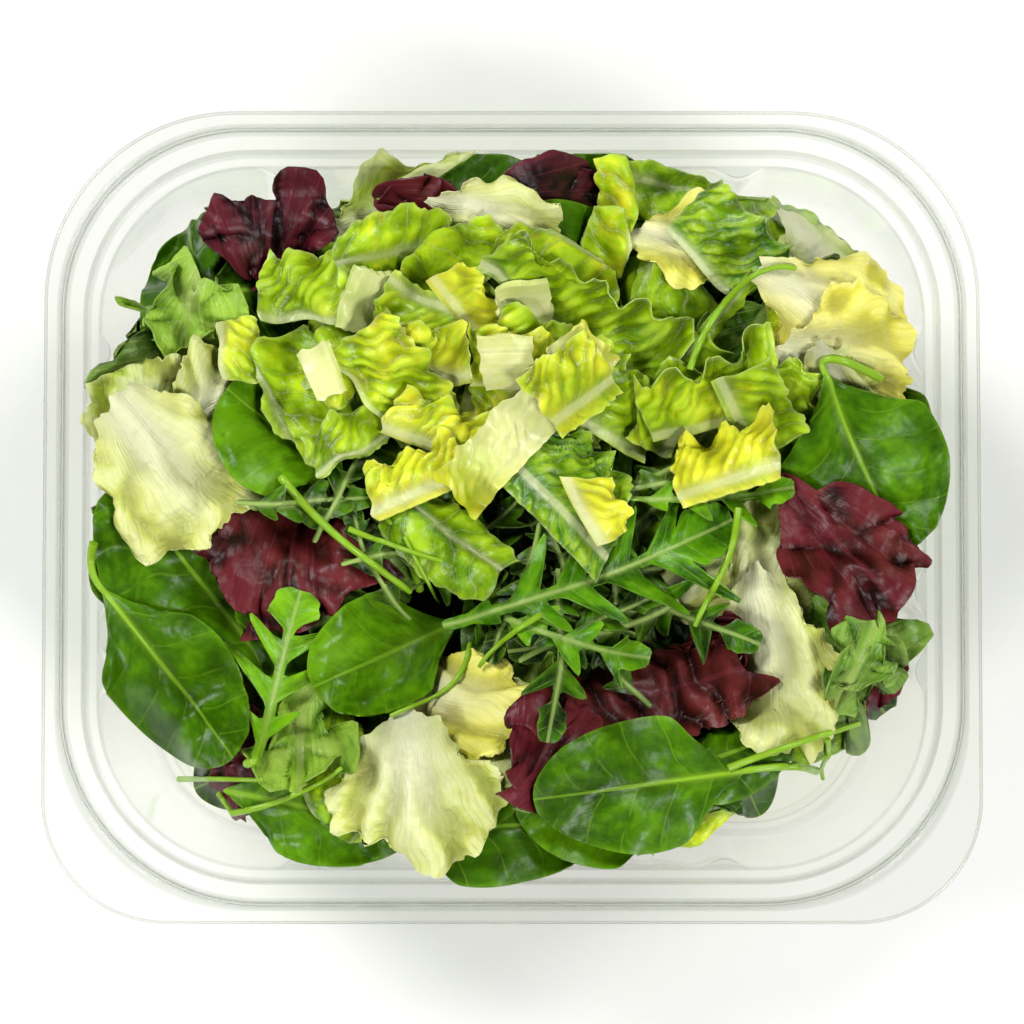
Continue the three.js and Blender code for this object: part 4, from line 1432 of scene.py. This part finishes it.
def stem_material():
    """Juicy stem: pale green, smooth and shining, whiter in patches."""
    material, node = new_material("Leaf stem, juicy")
    where = node("ShaderNodeTexCoord").outputs["Object"]
    noise = node("ShaderNodeTexNoise", {"Vector": where, "Scale": 1 / 0.006, "Detail": 2.0}).outputs["Fac"]
    c = leaf_colours()
    stops = [(0.3, c.stem), (0.75, c.spinach_vein), (1.0, c.cos_rib)]
    colour = spread(node("ShaderNodeValToRGB", {"Fac": noise}), stops)
    juicy = {"Base Color": colour, "Roughness": 0.3, "IOR": JUICE}
    surface = node("ShaderNodeBsdfPrincipled", juicy).outputs["BSDF"]
    node("ShaderNodeOutputMaterial", {"Surface": surface})
    return material


# ---------------------------------------------------------------- the pot

SIDE_STEPS = 84  # points along one side of the pot
CORNER_STEPS = 18  # points round one corner
FLUTE_OFFSETS = {"back": 46.5, "front": 43.0}  # mm from the middle to the two flutes of the long sides
EDGE_CORNERS = {"back": 38.5, "front": 25.3}  # radius of the flange's corners at its edge
MOUTH_CORNERS = {"back": 31.0, "front": 33.0}  # radius of the wall's corners at its top
CORNER_GROWTH = {"back": 0.8, "front": 1.0}  # how much that radius grows for each mm nearer to the edge
WALL_SLOPE = 0.13  # mm inwards for each mm down
LEDGE_FALL = 0.2  # mm that the ledge falls towards the wall
RING_SPACING = 4.0  # mm between the rings of points on the flat parts
CREASE = 0.22  # mm: half the width of the line of painted shade along a bend


def rounded(points, radii):
    """A section's points with a bend of its own radius at each corner."""
    made = [np.array(points[0], float)]
    for before, corner, after, radius in zip(points, points[1:], points[2:], radii[1:-1]):
        before, corner, after = (np.array(p, float) for p in (before, corner, after))
        back, ahead = before - corner, after - corner
        back_length, ahead_length = np.hypot(*back), np.hypot(*ahead)
        back, ahead = back / back_length, ahead / ahead_length
        half = math.acos(np.clip(back @ ahead, -1, 1)) / 2
        turn = math.pi - 2 * half
        cut = min(radius / math.tan(half), 0.48 * back_length, 0.48 * ahead_length)
        radius = cut * math.tan(half)
        centre = corner + (back + ahead) / np.hypot(*(back + ahead)) * radius / math.sin(half)
        start, end = corner + back * cut - centre, corner + ahead * cut - centre
        for share in np.linspace(0, 1, 3 if turn < 0.6 else 5):
            way = start * math.sin((1 - share) * turn) + end * math.sin(share * turn)
            made.append(centre + way / max(math.sin(turn), 1e-6))
    made.append(np.array(points[-1], float))
    return made


def pot_section():
    """The pot's upper side as insets from its edge and heights, from the lip to the middle of the base."""
    s = pot_sizes()
    sheet, foot_radius, rise, bead_height = (
        length / MM for length in (s.sheet, s.foot_radius, s.panel_rise, s.bead_height)
    )
    rim = RIM - bead_height
    bead, bead_end = s.bead_inset / MM, (s.bead_inset + s.bead_width) / MM
    flange, mouth = s.flange / MM, s.mouth / MM
    ledge = rim - s.step / MM - LEDGE_FALL
    foot = mouth + WALL_SLOPE * (ledge - foot_radius)
    low = foot - WALL_SLOPE * (sheet - foot_radius)
    panel = foot + (s.foot_radius + s.foot_width) / MM
    corners = [
        ((0, rim - s.lip / MM), 0),
        ((0, rim), 0.5),
        ((bead, rim), 0.3),
        ((bead + 0.4, rim + bead_height), 0.35),
        ((bead_end - 0.4, rim + bead_height), 0.35),
        ((bead_end, rim), 0.3),
        ((flange, rim), 0.6),
        ((flange + 0.4, ledge + LEDGE_FALL), 0.5),
        ((mouth, ledge), 0.7),
        ((low, sheet), foot_radius - sheet),
        ((panel, sheet), 1.0),
        ((panel + rise, sheet + rise), 1.0),
        ((panel + rise + 20, sheet + rise), 0),
    ]
    points = rounded(*zip(*corners))
    filled = [points[0]]
    for a, b in zip(points, points[1:]):
        length = np.hypot(*(b - a))
        shares = np.linspace(0, 1, max(int(length / RING_SPACING), 1) + 1)
        if length > 0.9:
            near = CREASE / length
            shares = np.concatenate([[0, near], shares[1:-1], [1 - near, 1]])
        filled += [a + (b - a) * share for share in shares[1:]]
    return filled


def bends(section):
    """How sharply the section turns at each of its points, from 0 to 1."""
    section = np.array(section)
    steps = np.diff(section, axis=0)
    lengths = np.hypot(*steps.T)
    ways = np.arctan2(steps[:, 1], steps[:, 0])
    turns = np.abs((np.diff(ways) + math.pi) % (2 * math.pi) - math.pi)
    sharp = np.clip(turns / np.minimum(lengths[:-1], lengths[1:]) - 0.5, 0, 1)
    return np.concatenate([[1.0], sharp, [0.0]])


def corner_radius(side, inset):
    """The radius of the two corners of one side, for a ring at some inset from the pot's edge."""
    bead, mouth = pot_sizes().bead_inset / MM, pot_sizes().mouth / MM
    rings = MOUTH_CORNERS[side] + CORNER_GROWTH[side] * (mouth - inset)
    share = np.clip((bead - inset) / (bead - 0.7), 0, 1)
    return rings + (EDGE_CORNERS[side] - inset - rings) * share


def pot_ring(inset, z):
    """The points of one ring round the pot, pushed in where the flutes are."""
    s = pot_sizes()
    width, depth = HALF_WIDTH - inset, HALF_DEPTH - inset
    back, front = corner_radius("back", inset), corner_radius("front", inset)
    middle, side_half = (front - back) / 2, depth - (back + front) / 2
    on_wall = 1.0 if inset >= s.mouth / MM - 0.05 else 0.0
    push_in = on_wall * s.flute_depth / MM * smooth(s.sheet / MM, s.foot_radius / MM + 14, z)
    ledge = RIM - (s.bead_height + s.step) / MM - LEDGE_FALL
    push_in = push_in * smooth(ledge + 0.01, ledge - 0.6, z)
    half_flute = s.flute_width / MM / 2

    def along_side(half, centres):
        """Places along a side, and how far the flutes at its centres push the wall in there."""
        fit = min(1, (half - 0.5) / (max(centres) + half_flute))
        along = np.linspace(-half, half, SIDE_STEPS)
        near = [np.clip((along / fit - centre) / half_flute, -1, 1) for centre in centres]
        return along, sum(0.5 + 0.5 * np.cos(share * math.pi) for share in near) * push_in

    def corner(x, y, radius, start):
        """A quarter of a circle about x and y."""
        turn = start + np.linspace(0, math.pi / 2, CORNER_STEPS + 2)[1:-1]
        return np.column_stack([x + radius * np.cos(turn), y + radius * np.sin(turn)])

    right, push = along_side(side_half, [(i - 2) * s.flute_pitch / MM for i in range(5)])
    along, far_push = along_side(width - back, [-FLUTE_OFFSETS["back"], FLUTE_OFFSETS["back"]])
    near, near_push = along_side(width - front, [-FLUTE_OFFSETS["front"], FLUTE_OFFSETS["front"]])
    ring = np.vstack([
        np.column_stack([width - push, right + middle]),
        corner(width - back, depth - back, back, 0),
        np.column_stack([-along, depth - far_push]),
        corner(back - width, depth - back, back, math.pi / 2),
        np.column_stack([push - width, middle - right]),
        corner(front - width, front - depth, front, math.pi),
        np.column_stack([near, near_push - depth]),
        corner(width - front, front - depth, front, 1.5 * math.pi),
    ])
    return np.column_stack([ring, np.full(len(ring), z)])


def loft(name, rings, summit, bottom=None):
    """A mesh over rings of points, closed by a fan at its last ring, and at its first one if bottom is given.
    Summit and bottom are the heights of the middles of these fans."""
    count = len(rings[0])
    number = np.arange(len(rings) * count).reshape(len(rings), count)
    after = np.roll(number, -1, axis=1)
    faces = np.stack([number[:-1], after[:-1], after[1:], number[1:]], axis=2).reshape(-1, 4).tolist()
    middles = []
    if bottom is not None:
        faces += [(b, a, number.size) for a, b in zip(number[0].tolist(), after[0].tolist())]
        middles.append([0, 0, bottom])
    last = number.size + len(middles)
    faces += [(a, b, last) for a, b in zip(number[-1].tolist(), after[-1].tolist())]
    middles.append([0, 0, summit])
    mesh = bpy.data.meshes.new(name)
    mesh.from_pydata((np.vstack([*rings, middles]) * MM).tolist(), [], faces)
    mesh.polygons.foreach_set("use_smooth", np.ones(len(mesh.polygons), bool))
    return mesh


def make_pot():
    """The pot's upper side is lofted from the lip to the middle of the base, then given its thickness."""
    section = pot_section()
    rings = [pot_ring(inset, z) for inset, z in section]
    last = rings[-1]
    mesh = loft("pot_sheet", rings + [last * [share, share, 1] for share in (0.8, 0.6, 0.4, 0.2)], last[0, 2])
    # how sharp the bend of each ring is, for the painted shade along the bends
    bent = np.zeros(len(mesh.vertices))
    bent[: len(section) * len(last)] = np.repeat(bends(section), len(last))
    mesh.attributes.new("bend", "FLOAT", "POINT").data.foreach_set("value", bent)
    source = new_object("pot_sheet", mesh)
    solid = source.modifiers.new("Thickness", "SOLIDIFY")
    solid.thickness = pot_sizes().sheet
    solid.offset = -1.0
    add_piece("pot_shell", plain_mesh(source, "pot_shell"), clear_plastic(), "pot")


# ---------------------------------------------------------------- the core, small leaves and stems

CORE_FOOT = 3.2  # mm over the floor, just inside the base of the pot
CORE_STEPS = 96  # points round the core
CORE_SHOULDER = RIM - 24.0  # mm over the floor, where its sides end
UNDER_SIDE, UNDER_TOP = 0.6, 1.5  # mm that the core keeps under the leaves at the wall and those of the top


def core_mesh():
    """A smaller closed body under the leaves: it fills the heap's depth with shade."""
    _, heap, _ = hollow()
    turn = np.linspace(0, 2 * math.pi, CORE_STEPS + 1)[:-1]
    x, y = np.cos(turn), np.sin(turn)
    depth = heap_sizes().depth / MM + UNDER_SIDE
    rings = []
    for z in np.linspace(CORE_FOOT, CORE_SHOULDER, 10):
        level = np.full(CORE_STEPS, z)
        reach = read_table(heap, x, y, np.maximum(level, 4.0)) - depth
        rings.append(np.column_stack([x * reach, y * reach, level]))
    widest = rings[-1]
    for share in (0.97, 0.9, 0.75, 0.55, 0.35, 0.15):
        ring = widest * [share, share, 1]
        ring[:, 2] = support(ring[None, :, 0], ring[None, :, 1])[0] - UNDER_TOP
        rings.append(ring)
    return loft("heap_core", rings, rings[-1][:, 2].mean(), bottom=CORE_FOOT)


def make_core():
    add_piece("heap_core", core_mesh(), depth_material(), "salad_leaves")


def small_leaf():
    """One cupped leaf of a few dozen faces, 10 mm long, for scattering."""
    t, v = grid(6, 4, first=0)
    x = (t - 0.5) * 10
    y = v * 3.1 * np.sin(math.pi * np.clip(t * 0.94 + 0.04, 0, 1)) ** 0.8
    z = 0.8 * v**2 - 1.1 * (2 * t - 1) ** 2 + 0.35 * np.sin(t * 9)
    points, faces, _ = shell(Sheet(x, y, z, x, np.abs(y), thickness=0.35))
    mesh = grid_mesh("small_leaf", points, faces)
    mesh.validate()
    return new_object("small_leaf", mesh)


def new_tree(name, inputs):
    """An empty Geometry Nodes tree with a geometry in and out, and named inputs with their defaults. Gives
    the tree, add_node for it, and the sockets of its inputs."""
    tree = bpy.data.node_groups.new(name, "GeometryNodeTree")
    tree.interface.new_socket("Geometry", in_out="INPUT", socket_type="NodeSocketGeometry")
    for key, (kind, value) in inputs.items():
        socket = tree.interface.new_socket(key, in_out="INPUT", socket_type=kind)
        if value is not None:
            socket.default_value = value
    tree.interface.new_socket("Geometry", in_out="OUTPUT", socket_type="NodeSocketGeometry")
    return tree, partial(add_node, tree), add_node(tree, "NodeGroupInput").outputs


def finish_tree(node, geometry, material):
    """Ends a tree in Realize Instances and Set Material."""
    real = node("GeometryNodeRealizeInstances", {"Geometry": geometry}).outputs["Geometry"]
    done = node("GeometryNodeSetMaterial", {"Geometry": real, "Material": material}).outputs["Geometry"]
    node("NodeGroupOutput", {"Geometry": done})


def run_tree(source, tree, values):
    """Puts a tree on an object with its inputs set, and returns the finished plain mesh."""
    modifier = source.modifiers.new(tree.name, "NODES")
    modifier.node_group = tree
    for item in tree.interface.items_tree:
        if item.item_type == "SOCKET" and item.in_out == "INPUT" and item.name in values:
            modifier[item.identifier] = values[item.name]
    return plain_mesh(source, tree.name)


HALF_TURN = 3.14159
SHREDS_FROM = 12.0  # mm over the floor: small leaves lie on the core above it
SHRED_TILT = 0.3  # radians: the most that they tilt


def make_shreds():
    """Scatters small leaves over the core, lying nearly flat on it, each turned its own way."""
    tree, node, given = new_tree(
        "small_leaves",
        {
            "Count": ("NodeSocketInt", 400),
            "Seed": ("NodeSocketInt", 0),
            "Tilt": ("NodeSocketFloat", SHRED_TILT),
            "Lowest": ("NodeSocketFloat", 0.01),
            "Leaf": ("NodeSocketObject", None),
            "Material": ("NodeSocketMaterial", None),
        },
    )
    face = node("GeometryNodeInputMeshFaceArea").outputs["Area"]
    faces = {"Geometry": given["Geometry"], "Attribute": face}
    area = node("GeometryNodeAttributeStatistic", faces, domain="FACE").outputs["Sum"]
    density = node("ShaderNodeMath", {0: given["Count"], 1: area}, operation="DIVIDE").outputs[0]
    where = node("GeometryNodeInputPosition").outputs["Position"]
    height = node("ShaderNodeSeparateXYZ", {"Vector": where}).outputs["Z"]
    high_up = node("ShaderNodeMath", {0: height, 1: given["Lowest"]}, operation="GREATER_THAN").outputs[0]
    points = node(
        "GeometryNodeDistributePointsOnFaces",
        {"Mesh": given["Geometry"], "Selection": high_up, "Density": density, "Seed": given["Seed"]},
        distribute_method="RANDOM",
    )
    leaf = node("GeometryNodeObjectInfo", {"Object": given["Leaf"]}).outputs["Geometry"]
    back = node("ShaderNodeMath", {0: given["Tilt"], 1: -1.0}, operation="MULTIPLY").outputs[0]
    low = node("ShaderNodeCombineXYZ", {"X": back, "Y": back, "Z": -HALF_TURN})
    high = node("ShaderNodeCombineXYZ", {"X": given["Tilt"], "Y": given["Tilt"], "Z": HALF_TURN})
    turn = node(
        "FunctionNodeRandomValue",
        {"Min": low.outputs["Vector"], "Max": high.outputs["Vector"], "Seed": given["Seed"]},
        data_type="FLOAT_VECTOR",
    ).outputs["Value"]
    turned = node(
        "FunctionNodeRotateRotation", {0: points.outputs["Rotation"], 1: turn}, rotation_space="LOCAL"
    ).outputs["Rotation"]
    # sockets 2 and 3 of this node are its least and most when it draws single numbers
    size = node("FunctionNodeRandomValue", {2: 0.7, 3: 1.6}, data_type="FLOAT").outputs[1]
    tone = node("FunctionNodeRandomValue", {2: 0.0, 3: 1.0}, data_type="FLOAT").outputs[1]
    placing = {"Points": points.outputs["Points"], "Instance": leaf, "Rotation": turned, "Scale": size}
    placed = node("GeometryNodeInstanceOnPoints", placing).outputs["Instances"]
    toned = node(
        "GeometryNodeStoreNamedAttribute",
        {"Geometry": placed, "Name": "tone", "Value": tone},
        data_type="FLOAT",
        domain="INSTANCE",
    )
    finish_tree(node, toned.outputs["Geometry"], given["Material"])
    leaf_object, material, sizes = small_leaf(), shred_material(), heap_sizes()
    values = {
        "Count": sizes.shreds,
        "Seed": sizes.seed,
        "Tilt": SHRED_TILT,
        "Lowest": SHREDS_FROM * MM,
        "Leaf": leaf_object,
        "Material": material,
    }
    mesh = run_tree(new_object("ground", core_mesh()), tree, values)
    bpy.data.objects.remove(leaf_object)
    add_piece("small_leaves", mesh, material, "salad_leaves")


def make_stems():
    """Sweeps a round section along each stem's path, thinner towards the leaf's tip."""
    _, stalks = lay_heap()
    curve = bpy.data.curves.new("stem_paths", "CURVE")
    curve.dimensions = "3D"
    for points, radius in stalks:
        spline = curve.splines.new("POLY")
        spline.points.add(len(points) - 1)
        for point, place, size in zip(spline.points, points, radius):
            point.co = (*(Vector(place) * MM), 1.0)
            point.radius = size
    inputs = {"Section": ("NodeSocketFloat", MM), "Material": ("NodeSocketMaterial", None)}
    tree, node, given = new_tree("stems", inputs)
    section = node("GeometryNodeCurvePrimitiveCircle", {"Resolution": 10, "Radius": given["Section"]})
    width = node("GeometryNodeInputRadius").outputs["Radius"]
    profile = {"Profile Curve": section.outputs["Curve"], "Scale": width, "Fill Caps": True}
    sweep = node("GeometryNodeCurveToMesh", {"Curve": given["Geometry"], **profile})
    smooth_faces = node("GeometryNodeSetShadeSmooth", {"Geometry": sweep.outputs["Mesh"]})
    finish_tree(node, smooth_faces.outputs["Geometry"], given["Material"])
    material = stem_material()
    mesh = run_tree(new_object("stem_paths", curve), tree, {"Section": MM, "Material": material})
    add_piece("stems", mesh, material, "salad_leaves")


# ---------------------------------------------------------------- the stage

WHITE = (1.0, 1.0, 1.0, 1.0)
FLOOR_HALF = 1500.0  # mm
# Each lamp is a disc that faces the pot: its place and size in metres, and its power in watts.
LAMPS = [
    ("Large soft light", (-0.8, 0.72, 1.0), 0.6, 15.0),
    ("Soft light back right", (0.85, 0.65, 1.0), 0.5, 7.2),
    ("Soft light front right", (0.8, -0.7, 1.0), 0.5, 11.5),
    ("Soft light front left", (-0.8, -0.7, 1.0), 0.5, 7.6),
]
AIM_BEHIND = 0.0006  # metres behind the pot's middle, where the camera looks
CAMERA_RISE = math.radians(86)  # nearly straight down
CAMERA_DISTANCE = 0.95  # metres


def make_floor():
    """A plain pale floor."""
    material, node = new_material("Floor, pale matt")
    matt = {"Base Color": linear("#FCFCFB"), "Roughness": 0.9}
    surface = node("ShaderNodeBsdfPrincipled", matt).outputs["BSDF"]
    node("ShaderNodeOutputMaterial", {"Surface": surface})
    corners = FLOOR_HALF * np.array([(-1, -1, 0), (1, -1, 0), (1, 1, 0), (-1, 1, 0)])
    floor = new_object("floor", grid_mesh("floor", corners, np.array([[0, 1, 2, 3]]), smooth=False))
    floor.data.materials.append(material)


def make_room():
    """A pale room, whose faint light keeps the gaps between the leaves dark."""
    world = bpy.data.worlds.new("Soft white room")
    world.use_nodes = True
    world.node_tree.nodes.clear()
    node = partial(add_node, world.node_tree)
    faint = node("ShaderNodeBackground", {"Color": WHITE, "Strength": 0.08}).outputs["Background"]
    pale = node("ShaderNodeBackground", {"Color": WHITE, "Strength": 0.85}).outputs["Background"]
    seen = node("ShaderNodeLightPath").outputs["Is Camera Ray"]
    room = node("ShaderNodeMixShader", {0: seen, 1: faint, 2: pale}).outputs["Shader"]
    node("ShaderNodeOutputWorld", {"Surface": room})
    bpy.context.scene.world = world


def make_stage():
    """The floor, the room, soft light from above, and the camera over the pot."""
    make_floor()
    make_room()
    target = Vector((0, AIM_BEHIND, POT_HIGH.z - pot_sizes().bead_height))
    for name, place, size, power in LAMPS:
        data = bpy.data.lights.new(name, "AREA")
        data.shape, data.size, data.energy = "DISK", size, power
        lamp = new_object(name, data)
        lamp.location = place
        lamp.rotation_euler = (target - Vector(place)).to_track_quat("-Z", "Y").to_euler()

    data = bpy.data.cameras.new("camera")
    data.lens, data.sensor_width = 165.0, 36.0
    data.clip_start, data.clip_end = 0.05, 20.0
    camera = new_object("camera", data)
    camera.location = target + CAMERA_DISTANCE * Vector((0, -math.cos(CAMERA_RISE), math.sin(CAMERA_RISE)))
    camera.rotation_euler = (target - camera.location).to_track_quat("-Z", "Y").to_euler()
    bpy.context.scene.camera = camera
    bpy.context.scene.view_settings.view_transform = "Standard"


# ---------------------------------------------------------------- operators, panel and start


class SALAD_OT_stage(bpy.types.Operator):
    """Make the floor, the light and the camera"""

    bl_idname = "salad.stage"
    bl_label = "Stage"

    def execute(self, context):
        make_stage()
        return {"FINISHED"}


class SALAD_OT_pot(bpy.types.Operator):
    """Make the clear pot"""

    bl_idname = "salad.pot"
    bl_label = "Pot"

    def execute(self, context):
        make_pot()
        return {"FINISHED"}


class SALAD_OT_core(bpy.types.Operator):
    """Make the shaded body under the leaves"""

    bl_idname = "salad.core"
    bl_label = "Core of the heap"

    def execute(self, context):
        make_core()
        return {"FINISHED"}


class SALAD_OT_small_leaves(bpy.types.Operator):
    """Scatter small leaves over the core"""

    bl_idname = "salad.small_leaves"
    bl_label = "Small leaves"

    def execute(self, context):
        make_shreds()
        return {"FINISHED"}


class LeafPiece:
    """What the operators for each kind of leaf share."""

    def execute(self, context):
        make_leaves(self.piece)
        return {"FINISHED"}


class SALAD_OT_spinach(LeafPiece, bpy.types.Operator):
    """Lay the spinach leaves"""

    bl_idname = "salad.spinach"
    bl_label = "Spinach leaves"
    piece = "spinach_leaves"


class SALAD_OT_rocket(LeafPiece, bpy.types.Operator):
    """Lay the lobed rocket leaves"""

    bl_idname = "salad.rocket"
    bl_label = "Rocket leaves"
    piece = "rocket_leaves"


class SALAD_OT_curled(LeafPiece, bpy.types.Operator):
    """Lay the frilly green leaves"""

    bl_idname = "salad.curled"
    bl_label = "Frilly leaves"
    piece = "curled_leaves"


class SALAD_OT_red(LeafPiece, bpy.types.Operator):
    """Lay the red leaves"""

    bl_idname = "salad.red"
    bl_label = "Red leaves"
    piece = "red_leaves"


class SALAD_OT_iceberg(LeafPiece, bpy.types.Operator):
    """Lay the torn pieces of iceberg lettuce"""

    bl_idname = "salad.iceberg"
    bl_label = "Iceberg pieces"
    piece = "iceberg_pieces"


class SALAD_OT_yellow(LeafPiece, bpy.types.Operator):
    """Lay the yellow pieces of escarole"""

    bl_idname = "salad.yellow"
    bl_label = "Yellow pieces"
    piece = "yellow_pieces"


class SALAD_OT_cos(LeafPiece, bpy.types.Operator):
    """Lay the cut pieces of cos lettuce"""

    bl_idname = "salad.cos"
    bl_label = "Cos pieces"
    piece = "cos_pieces"


class SALAD_OT_young(LeafPiece, bpy.types.Operator):
    """Lay the cut pieces of young lettuce"""

    bl_idname = "salad.young"
    bl_label = "Young lettuce pieces"
    piece = "young_pieces"


class SALAD_OT_ribs(LeafPiece, bpy.types.Operator):
    """Lay the cut pieces of midrib"""

    bl_idname = "salad.ribs"
    bl_label = "Midrib pieces"
    piece = "rib_pieces"


class SALAD_OT_stems(bpy.types.Operator):
    """Lay the stems"""

    bl_idname = "salad.stems"
    bl_label = "Stems"

    def execute(self, context):
        make_stems()
        return {"FINISHED"}


PIECE_OPERATORS = [
    SALAD_OT_stage,
    SALAD_OT_pot,
    SALAD_OT_core,
    SALAD_OT_small_leaves,
    SALAD_OT_spinach,
    SALAD_OT_rocket,
    SALAD_OT_curled,
    SALAD_OT_red,
    SALAD_OT_iceberg,
    SALAD_OT_yellow,
    SALAD_OT_cos,
    SALAD_OT_young,
    SALAD_OT_ribs,
    SALAD_OT_stems,
]


class SALAD_PT_pot(bpy.types.Panel):
    """Lists the pieces of the salad pot"""

    bl_idname = "SALAD_PT_pot"
    bl_label = "Salad pot"
    bl_space_type = "VIEW_3D"
    bl_region_type = "UI"
    bl_category = "Salad"

    def draw(self, context):
        for operator in PIECE_OPERATORS:
            self.layout.operator(operator.bl_idname)


CLASSES = [SaladPotSizes, SaladLeafColours, SaladHeapSizes, *PIECE_OPERATORS, SALAD_PT_pot]


def register():
    for made in CLASSES:
        bpy.utils.register_class(made)
    bpy.types.Scene.salad_pot = bpy.props.PointerProperty(type=SaladPotSizes)
    bpy.types.Scene.salad_colours = bpy.props.PointerProperty(type=SaladLeafColours)
    bpy.types.Scene.salad_heap = bpy.props.PointerProperty(type=SaladHeapSizes)


def unregister():
    del bpy.types.Scene.salad_heap
    del bpy.types.Scene.salad_colours
    del bpy.types.Scene.salad_pot
    for made in reversed(CLASSES):
        bpy.utils.unregister_class(made)


def main():
    register()
    bpy.ops.salad.stage()
    bpy.ops.salad.pot()
    bpy.ops.salad.core()
    bpy.ops.salad.small_leaves()
    bpy.ops.salad.spinach()
    bpy.ops.salad.rocket()
    bpy.ops.salad.curled()
    bpy.ops.salad.red()
    bpy.ops.salad.iceberg()
    bpy.ops.salad.yellow()
    bpy.ops.salad.cos()
    bpy.ops.salad.young()
    bpy.ops.salad.ribs()
    bpy.ops.salad.stems()


if __name__ == "__main__":
    main()
